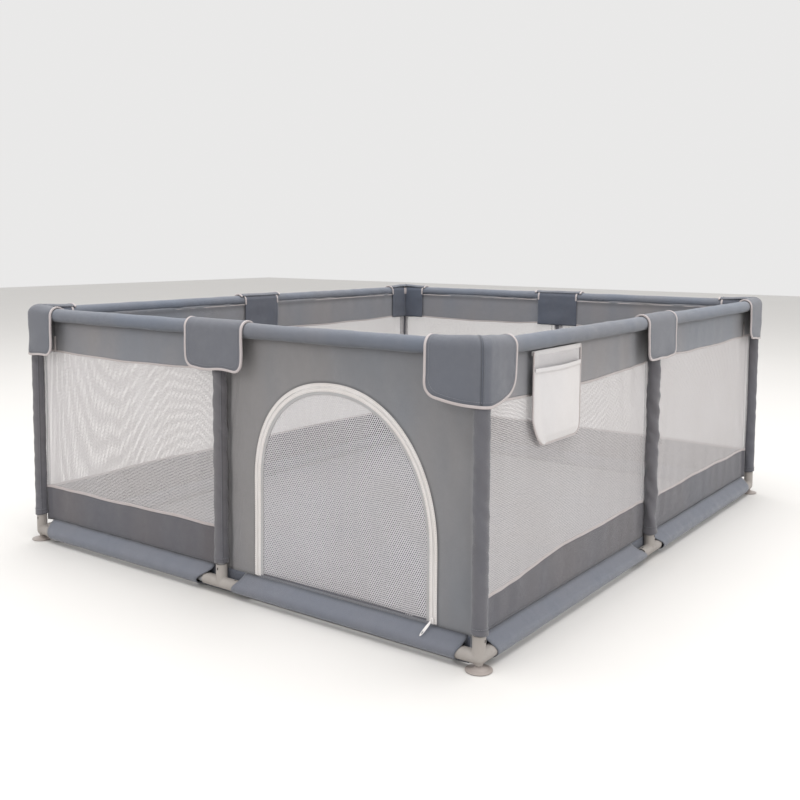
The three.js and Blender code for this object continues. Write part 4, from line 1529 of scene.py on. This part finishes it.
class PlaypenMat(bpy.types.Operator):
    """Makes the thin padded mat on the floor of the pen and the binding round it"""

    bl_idname = "playpen.mat"
    bl_label = "Floor Mat"

    def execute(self, context):
        """Rings from the middle of the top, out to a rounded edge and back to the middle of the
        bottom. Each ring is the rounded rectangle shrunk towards the middle."""
        low, high = box("floor_mat")
        half = (high - low)[:2] / 2 + 0.007
        thick = high[2] - low[2]
        corner = 0.045
        a = np.linspace(0, math.pi / 2, 12)
        arc = np.stack([half[0] - corner + corner * np.cos(a), half[1] - corner + corner * np.sin(a)], -1)
        quarters = [arc, arc[::-1] * [-1, 1], arc * [-1, -1], arc[::-1] * [1, -1]]
        outline = resampled(np.concatenate(quarters), 260, closed=True)
        over = np.linspace(0, 1, 56)[1:] ** 0.9
        edge = np.linspace(0, math.pi, 9)
        share = np.concatenate([[0.0], over * 0.994, np.full(7, 0.994), over[::-1] * 0.994, [0.0]])
        bulge = np.concatenate([np.zeros(56), np.sin(edge[1:-1]), np.zeros(56)])
        level = np.concatenate([np.ones(56), (np.cos(edge[1:-1]) + 1) / 2, np.zeros(56)])
        xy = outline[None] * share[:, None, None]
        xy = xy + unit(outline)[None] * (0.003 * bulge[:, None, None])
        x, y = np.moveaxis(xy, -1, 0)
        wrinkle = ripples(601, x, y, (0.12, 0.6), count=14) + 0.4 * ripples(602, x, y, (0.05, 0.12), count=9)
        settle = 1 - smooth_step(share[:, None], 0.9, 0.994)
        puff = 0.0007 * wrinkle * settle * level[:, None]
        z = low[2] + 0.0004 + (thick - 0.0008) * (0.08 + 0.84 * level[:, None]) + puff
        points = np.stack([x, y, np.broadcast_to(z, x.shape)], -1)
        mesh = surface("floor_mat_cushion", points, (False, True), poles=True)
        obj = piece("floor_mat_cushion", mesh, material("mat cloth"), "floor_mat_cloth", "frame",
                    ("floor_mat",))
        path = np.concatenate([outline * 0.9935, np.full((len(outline), 1), low[2] + thick * 0.55)], -1)
        strip("floor_mat_binding", path, (0, 0, 1), ring(0.0027, 10), "mat cloth", "floor_mat_cloth",
              closed=True)
        return {"FINISHED"}


# ---------------------------------------------------------------- fittings


def socket_profile(radius, bore, reach, start, root):
    """Half section (radius, height) of one arm: a solid root, a wall with a rolled lip, and a blind
    bore."""
    lip = np.linspace(0, math.pi / 2, 5)
    r = 0.0011
    outer_lip = np.stack([radius - r + r * np.cos(lip), reach - r + r * np.sin(lip)], -1)
    inner_lip = np.stack([bore + r - r * np.sin(lip), reach - r + r * np.cos(lip)], -1)
    body = np.stack([np.full(24, radius), np.linspace(root, reach - r, 24)], -1)
    deep = np.stack([np.full(18, bore), np.linspace(reach - r, start, 18)], -1)
    return np.concatenate([[[0, root]], body, outer_lip[1:], inner_lip, deep[1:], [[0, start]]])


def merged(parts):
    """One array of points and one of triangles from several grids that close round their columns."""
    points, faces, offset = [], [], 0
    for grid in parts:
        cells, _ = lattice(*grid.shape[:2], (False, True))
        flat = grid.reshape(-1, 3)
        if signed_volume(flat, cells) < 0:
            cells = cells[:, ::-1]
        points.append(flat)
        faces.append(cells + offset)
        offset += len(flat)
    return np.concatenate(points), np.concatenate(faces)


AXES = {"x": ((1, 0, 0), (0, 1, 0)), "-x": ((-1, 0, 0), (0, 1, 0)), "y": ((0, 1, 0), (0, 0, 1)),
        "z": ((0, 0, 1), (1, 0, 0))}


def turned_to(points, axis):
    """Points modelled along +z, turned to point along an axis."""
    ahead, side = (np.array(v, float) for v in AXES[axis])
    return points[..., :1] * side + points[..., 1:2] * np.cross(ahead, side) + points[..., 2:] * ahead


def connector_mesh(name, reaches, cup_seat):
    """The moulded connector with its hub at the origin and its stem up: arms drawn as lathe shapes, run
    together by a voxel remesh and rounded where they meet by smoothing."""
    bore = TUBE_R + 0.0006
    parts = []
    for axis, reach in reaches.items():
        profile = socket_profile(SOCKET_R, bore, reach, SOCKET_R + 0.001, -0.001)
        parts.append(turned_to(lathe_points(profile, 40), axis))
    if len(reaches) == 3 and "-x" not in reaches:
        angle = np.linspace(-math.pi / 2, math.pi / 2, 20)
        ball = np.stack([SOCKET_R * np.cos(angle), SOCKET_R * np.sin(angle)], -1)
        parts.append(lathe_points(ball, 40))
    if cup_seat:
        profile = np.array([[0, 0], [0.008, 0], [0.008, -0.016], [0.0072, -0.017], [0, -0.017]])
        parts.append(lathe_points(profile, 24))
    mesh = mesh_from(name, *merged(parts))
    weld(mesh, 1e-5)
    obj = bpy.data.objects.new(name, mesh)
    bpy.context.scene.collection.objects.link(obj)
    remesh = obj.modifiers.new("Fuse", "REMESH")
    remesh.mode, remesh.voxel_size = "VOXEL", 0.0016
    smooth = obj.modifiers.new("Round", "SMOOTH")
    smooth.factor, smooth.iterations = 0.5, 4
    fused = bpy.data.meshes.new_from_object(obj.evaluated_get(bpy.context.evaluated_depsgraph_get()))
    bpy.data.objects.remove(obj)
    fused.shade_smooth()
    return fused


def mesh_points(mesh):
    """The points of a mesh as an array."""
    points = np.empty(len(mesh.vertices) * 3, np.float32)
    mesh.vertices.foreach_get("co", points)
    return points.reshape(-1, 3).astype(float)


def placed_copy(name, mesh, points):
    """A copy of a mesh with its points moved, turned outward again if they were mirrored."""
    copy = mesh.copy()
    copy.name = name
    copy.vertices.foreach_set("co", np.ascontiguousarray(points, np.float32).ravel())
    work = bmesh.new()
    work.from_mesh(copy)
    bmesh.ops.recalc_face_normals(work, faces=work.faces)
    work.to_mesh(copy)
    work.free()
    return copy


class PlaypenConnectors(bpy.types.Operator):
    """Makes the moulded connectors that join the tubes, and the snap buttons showing in them"""

    bl_idname = "playpen.connectors"
    bl_label = "Tube Connectors"

    def execute(self, context):
        corner = {"x": CORNER_REACH, "y": CORNER_REACH, "z": STEM_REACH}
        tee = {"x": TEE_REACH, "-x": TEE_REACH, "z": STEM_REACH}
        base_corner = connector_mesh("corner_base", corner, True)
        plain_corner = connector_mesh("plain_corner_base", corner, False)
        base_tee = connector_mesh("tee_base", tee, False)
        for name, (side, at_end) in POSTS.items():
            u_post = at_end * SIDES[side][1]
            kind = "corner" if at_end else "tee"
            for level, z_axis, flip in (("bottom", LOW_Z, 1), ("top", TOP_Z, -1)):
                source = base_tee if not at_end else base_corner if level == "bottom" else plain_corner
                x, y, z = mesh_points(source).T
                points = on_side(side, u_post + x, -y, z_axis + flip * z)
                node = f"{level}_{kind}_connector_{name}"
                piece(f"{level}_{kind}_fitting_{name}", placed_copy(node, source, points),
                      material("connector plastic"), "connector_plastic", "frame", (node,))
                self.buttons(level, kind, name, side, u_post, z_axis, flip)
        for mesh in (base_corner, plain_corner, base_tee):
            bpy.data.meshes.remove(mesh)
        return {"FINISHED"}

    def buttons(self, level, kind, name, side, u_post, z_axis, flip):
        """Spring buttons: small domes that fill the snap holes, one near the end of each arm."""
        reach = (CORNER_REACH if kind == "corner" else TEE_REACH) - 0.011
        up = np.array([0.0, 0.0, flip])
        right, out = direction(side, 1, 0, 0), direction(side, 0, 1, 0)
        lift = z_axis + flip * (SOCKET_R - 0.0012)
        spots = [(on_side(side, u_post + reach, 0, lift), up, right),
                 (on_side(side, u_post, SOCKET_R - 0.0012, z_axis + flip * (STEM_REACH - 0.011)), out, up)]
        if kind == "corner":
            spots.append((on_side(side, u_post, -reach, lift), up, out))
        else:
            spots.append((on_side(side, u_post - reach, 0, lift), up, right))
        grids = []
        for centre, normal, along in spots:
            grids.append(blob(centre, (0.0042, 0.0022, 0.0018), along, np.cross(normal, along),
                              (0.8, 0.9), 10, 20))
        mesh = mesh_from(f"snap_buttons_{level}_{name}", *merged(grids))
        weld(mesh)
        piece(f"snap_buttons_{level}_{name}", mesh, material("button metal"), "tube_steel", "frame")


class PlaypenCups(bpy.types.Operator):
    """Makes the suction cup under each corner"""

    bl_idname = "playpen.cups"
    bl_label = "Suction Cups"

    def execute(self, context):
        """Half section of the cup: thin lip, concave top rising to the neck, stud, and hollow below."""
        for name in CORNERS:
            node = f"suction_cup_{name}"
            low, high = box(node)
            centre = middle(node)
            radius = (high[0] - low[0]) / 2
            t = np.linspace(0, 1, 22)
            rise = np.stack([radius - (radius - 0.0075) * t, 0.0017 + 0.0068 * t**1.9], -1)
            ridge = rise + np.stack([0 * t, 0.0006 * bump(t, 0.25, 0.05)], -1)
            lip = [[radius - 0.0010, 0.0001], [radius, 0.0006], [radius, 0.0012]]
            stud = [[0.0062, 0.0088], [0.0040, 0.0092], [0.0035, 0.0100], [0.0035, 0.0185], [0.0028, 0.0195],
                    [0.0, 0.0195]]
            hollow = np.stack([(radius - 0.003) * (1 - t[::-1]), 0.0042 * (t[::-1]) ** 1.5 + 0.0002], -1)
            profile = np.concatenate([hollow, lip, ridge, stud])
            steps = np.linalg.norm(np.diff(profile, axis=0), axis=1)
            profile = profile[np.concatenate([[True], steps > 1e-6])]
            points = lathe_points(profile, 56) + [centre[0], centre[1], low[2]]
            mesh = surface(node, points, (False, True), poles=True)
            piece(f"rubber_cup_{name}", mesh, material("cup rubber"), "cup_rubber", "frame", (node,))
        return {"FINISHED"}


class PlaypenTubes(bpy.types.Operator):
    """Gives the posts and rails of the frame their painted steel"""

    bl_idname = "playpen.tubes"
    bl_label = "Steel Tubes"

    def execute(self, context):
        for name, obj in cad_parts.items():
            if name.startswith("post_") or "_rail_" in name:
                obj.data.materials.clear()
                obj.data.materials.append(material("steel tube"))
        return {"FINISHED"}


# ---------------------------------------------------------------- stage


def aimed(right, up, ahead, place):
    """The matrix of a lamp or camera that looks ahead from a place."""
    rows = np.stack([right, up, -ahead], 1)
    return Matrix([[*row, p] for row, p in zip(rows, place)] + [[0, 0, 0, 1]])


def area_light(name, place, target, size, power, colour=(1, 1, 1)):
    """A square lamp at a place, facing a target."""
    lamp = bpy.data.lights.new(name, "AREA")
    lamp.size, lamp.energy, lamp.color = size, power, colour
    obj = bpy.data.objects.new(name, lamp)
    bpy.context.scene.collection.objects.link(obj)
    ahead = unit(np.array(target, float) - place)
    right = unit(np.cross(ahead, [0, 0, 1]))
    up = np.cross(right, ahead)
    obj.matrix_world = aimed(right, up, ahead, place)
    return obj


class PlaypenStage(bpy.types.Operator):
    """Makes the pale floor, the studio light and the camera"""

    bl_idname = "playpen.stage"
    bl_label = "Stage"

    def execute(self, context):
        scene = context.scene
        grid = np.stack(np.meshgrid([-14.0, 14.0], [-14.0, 14.0], [-0.0008], indexing="ij"), -1)[:, :, 0]
        mesh = surface("floor", grid, facing=(0, 0, 1))
        mesh.materials.append(material("studio floor"))
        floor = bpy.data.objects.new("floor", mesh)
        scene.collection.objects.link(floor)

        world = bpy.data.worlds.new("studio")
        world.use_nodes = True
        world.node_tree.nodes["Background"].inputs["Color"].default_value = (0.93, 0.925, 0.92, 1)
        world.node_tree.nodes["Background"].inputs["Strength"].default_value = 0.88
        scene.world = world
        area_light("overhead", (0.0, 0.01, 5.5), (0, 0, 0.3), 6.0, 330)
        area_light("window", (6.0, -1.5, 2.5), (0, 0, 0.3), 3.0, 90)
        area_light("fill", (-1.0, -6.0, 3.0), (0, 0, 0.3), 3.0, 60)
        scene.view_settings.view_transform = "Standard"

        camera = bpy.data.cameras.new("camera")
        camera.sensor_width = 36
        camera.lens = 44.49
        camera.shift_y = -0.09
        camera.clip_start, camera.clip_end = 0.05, 60
        yaw, pitch, roll = (math.radians(a) for a in (36.02, 5.04, 0.31))
        ahead = np.array([-math.sin(yaw) * math.cos(pitch), math.cos(yaw) * math.cos(pitch),
                          -math.sin(pitch)])
        level = np.array([math.cos(yaw), math.sin(yaw), 0.0])
        over = np.cross(level, ahead)
        right = math.cos(roll) * level + math.sin(roll) * over
        up = np.cross(right, ahead)
        obj = bpy.data.objects.new("camera", camera)
        scene.collection.objects.link(obj)
        place = (1.710, -2.502, 0.848)
        obj.matrix_world = aimed(right, up, ahead, place)
        scene.camera = obj
        return {"FINISHED"}


# ---------------------------------------------------------------- properties and panel


def tint(label, text, default):
    """A colour that the user may change."""
    return FloatVectorProperty(name=label, description=text, default=default, subtype="COLOR",
                               size=3, min=0.0, max=1.0)


def length(label, text, default, low, high):
    """A length that the user may change, in metres."""
    return FloatProperty(name=label, description=text, default=default, min=low, max=high,
                         unit="LENGTH", subtype="DISTANCE")


class PlaypenColours(bpy.types.PropertyGroup):
    """The colours of the pen's cloths, netting, tapes and mouldings"""

    rail_cloth: tint("Rail Pads", "Cloth of the rail pads", (0.130, 0.143, 0.173))
    cover_cloth: tint("Joint Covers", "Cloth of the covers over the joints", (0.114, 0.121, 0.143))
    # the top band and door panel colours are lighter to paint in light shining through the single cloth
    band_cloth: tint("Top Bands", "Cloth under the rails", (0.205, 0.206, 0.222))
    panel_cloth: tint("Door Panel", "Cloth round the doorway", (0.196, 0.197, 0.208))
    post_cloth: tint("Post Sleeves", "Cloth round the posts", (0.112, 0.111, 0.125))
    lower_cloth: tint("Bottom Bands", "Cloth above the hems", (0.101, 0.098, 0.111))
    hem_cloth: tint("Bottom Hems", "Cloth round the bottom rails", (0.155, 0.165, 0.196))
    # darker than the cover cloth to paint in shade; also used for the wall's foot and a cover's corner seam
    # cord
    shaded_lining_cloth: tint("Cover Linings", "Cloth inside the pen behind the covers", (0.085, 0.095, 0.122))
    mat_cloth: tint("Floor Mat", "Cloth of the floor mat", (0.095, 0.098, 0.110))
    netting: tint("Window Netting", "Knitted net of the windows", (0.680, 0.655, 0.660))
    door_netting: tint("Door Netting", "Coarser net of the door", (0.640, 0.620, 0.640))
    pocket_netting: tint("Pocket Netting", "Net behind the pocket", (0.720, 0.700, 0.710))
    pocket_cloth: tint("Pocket Pouch", "Front of the pocket", (0.600, 0.580, 0.580))
    binding: tint("Binding", "Pale binding on cut edges", (0.500, 0.455, 0.455))
    net_hem: tint("Net Hems", "Edges of the netting", (0.450, 0.450, 0.460))
    zip_tape: tint("Zip", "Tape, teeth and slider of the zip", (0.760, 0.735, 0.725))
    connector: tint("Connectors", "Moulded plastic of the tube connectors", (0.330, 0.305, 0.285))
    cup: tint("Suction Cups", "Rubber of the cups", (0.340, 0.300, 0.280))
    thread: tint("Thread", "Sewing thread on the grey cloth", (0.20, 0.21, 0.24))


class PlaypenSizes(bpy.types.PropertyGroup):
    """The sizes of the pen's soft details"""

    pad_radius: length("Pad Radius", "Outer radius of a rail pad", 0.0195, 0.014, 0.020)
    binding_width: length("Binding Width", "Width of the pale bindings", 0.0072, 0.003, 0.012)
    zip_width: length("Zip Width", "Width of both zip tapes together", 0.018, 0.012, 0.030)
    fold_depth: length("Fold Depth", "How deep the folds of the wall cloth are", 0.0013, 0.0, 0.004)
    stitch_pitch: length("Stitch Pitch", "Distance between stitches", 0.0050, 0.002, 0.010)
    net_pitch: length("Window Net Pitch", "Distance between holes of the windows", 0.0044, 0.001, 0.008)
    door_net_pitch: length("Door Net Pitch", "Distance between holes of the door", 0.0052, 0.002, 0.010)
    net_opening: FloatProperty(name="Net Opening", description="Hole radius as a share of the pitch",
                               default=0.365, min=0.1, max=0.48)


PARTS = (
    PlaypenBands, PlaypenWindows, PlaypenHems, PlaypenPostSleeves, PlaypenRailPads, PlaypenDoorPanel,
    PlaypenDoorFlap, PlaypenDoorZip, PlaypenZipSlider, PlaypenCovers, PlaypenLinings, PlaypenPocket,
    PlaypenMat, PlaypenConnectors, PlaypenCups, PlaypenTubes, PlaypenStage,
)


class PLAYPEN_PT_panel(bpy.types.Panel):
    """Lists the playpen's sizes, colours and parts"""

    bl_label = "Playpen"
    bl_idname = "PLAYPEN_PT_panel"
    bl_space_type = "VIEW_3D"
    bl_region_type = "UI"
    bl_category = "Playpen"

    def draw(self, context):
        layout = self.layout
        for group in (context.scene.playpen_sizes, context.scene.playpen_colours):
            column = layout.column(align=True)
            for key in group.__annotations__:
                column.prop(group, key)
        column = layout.column(align=True)
        for part in PARTS:
            column.operator(part.bl_idname)


CLASSES = (PlaypenColours, PlaypenSizes, *PARTS, PLAYPEN_PT_panel)


def register():
    for kind in CLASSES:
        bpy.utils.register_class(kind)
    bpy.types.Scene.playpen_colours = PointerProperty(type=PlaypenColours)
    bpy.types.Scene.playpen_sizes = PointerProperty(type=PlaypenSizes)


def unregister():
    del bpy.types.Scene.playpen_sizes
    del bpy.types.Scene.playpen_colours
    for kind in reversed(CLASSES):
        bpy.utils.unregister_class(kind)


def main():
    """Builds every part in order."""
    register()
    for part in PARTS:
        group, action = part.bl_idname.split(".")
        getattr(getattr(bpy.ops, group), action)()


if __name__ == "__main__":
    main()
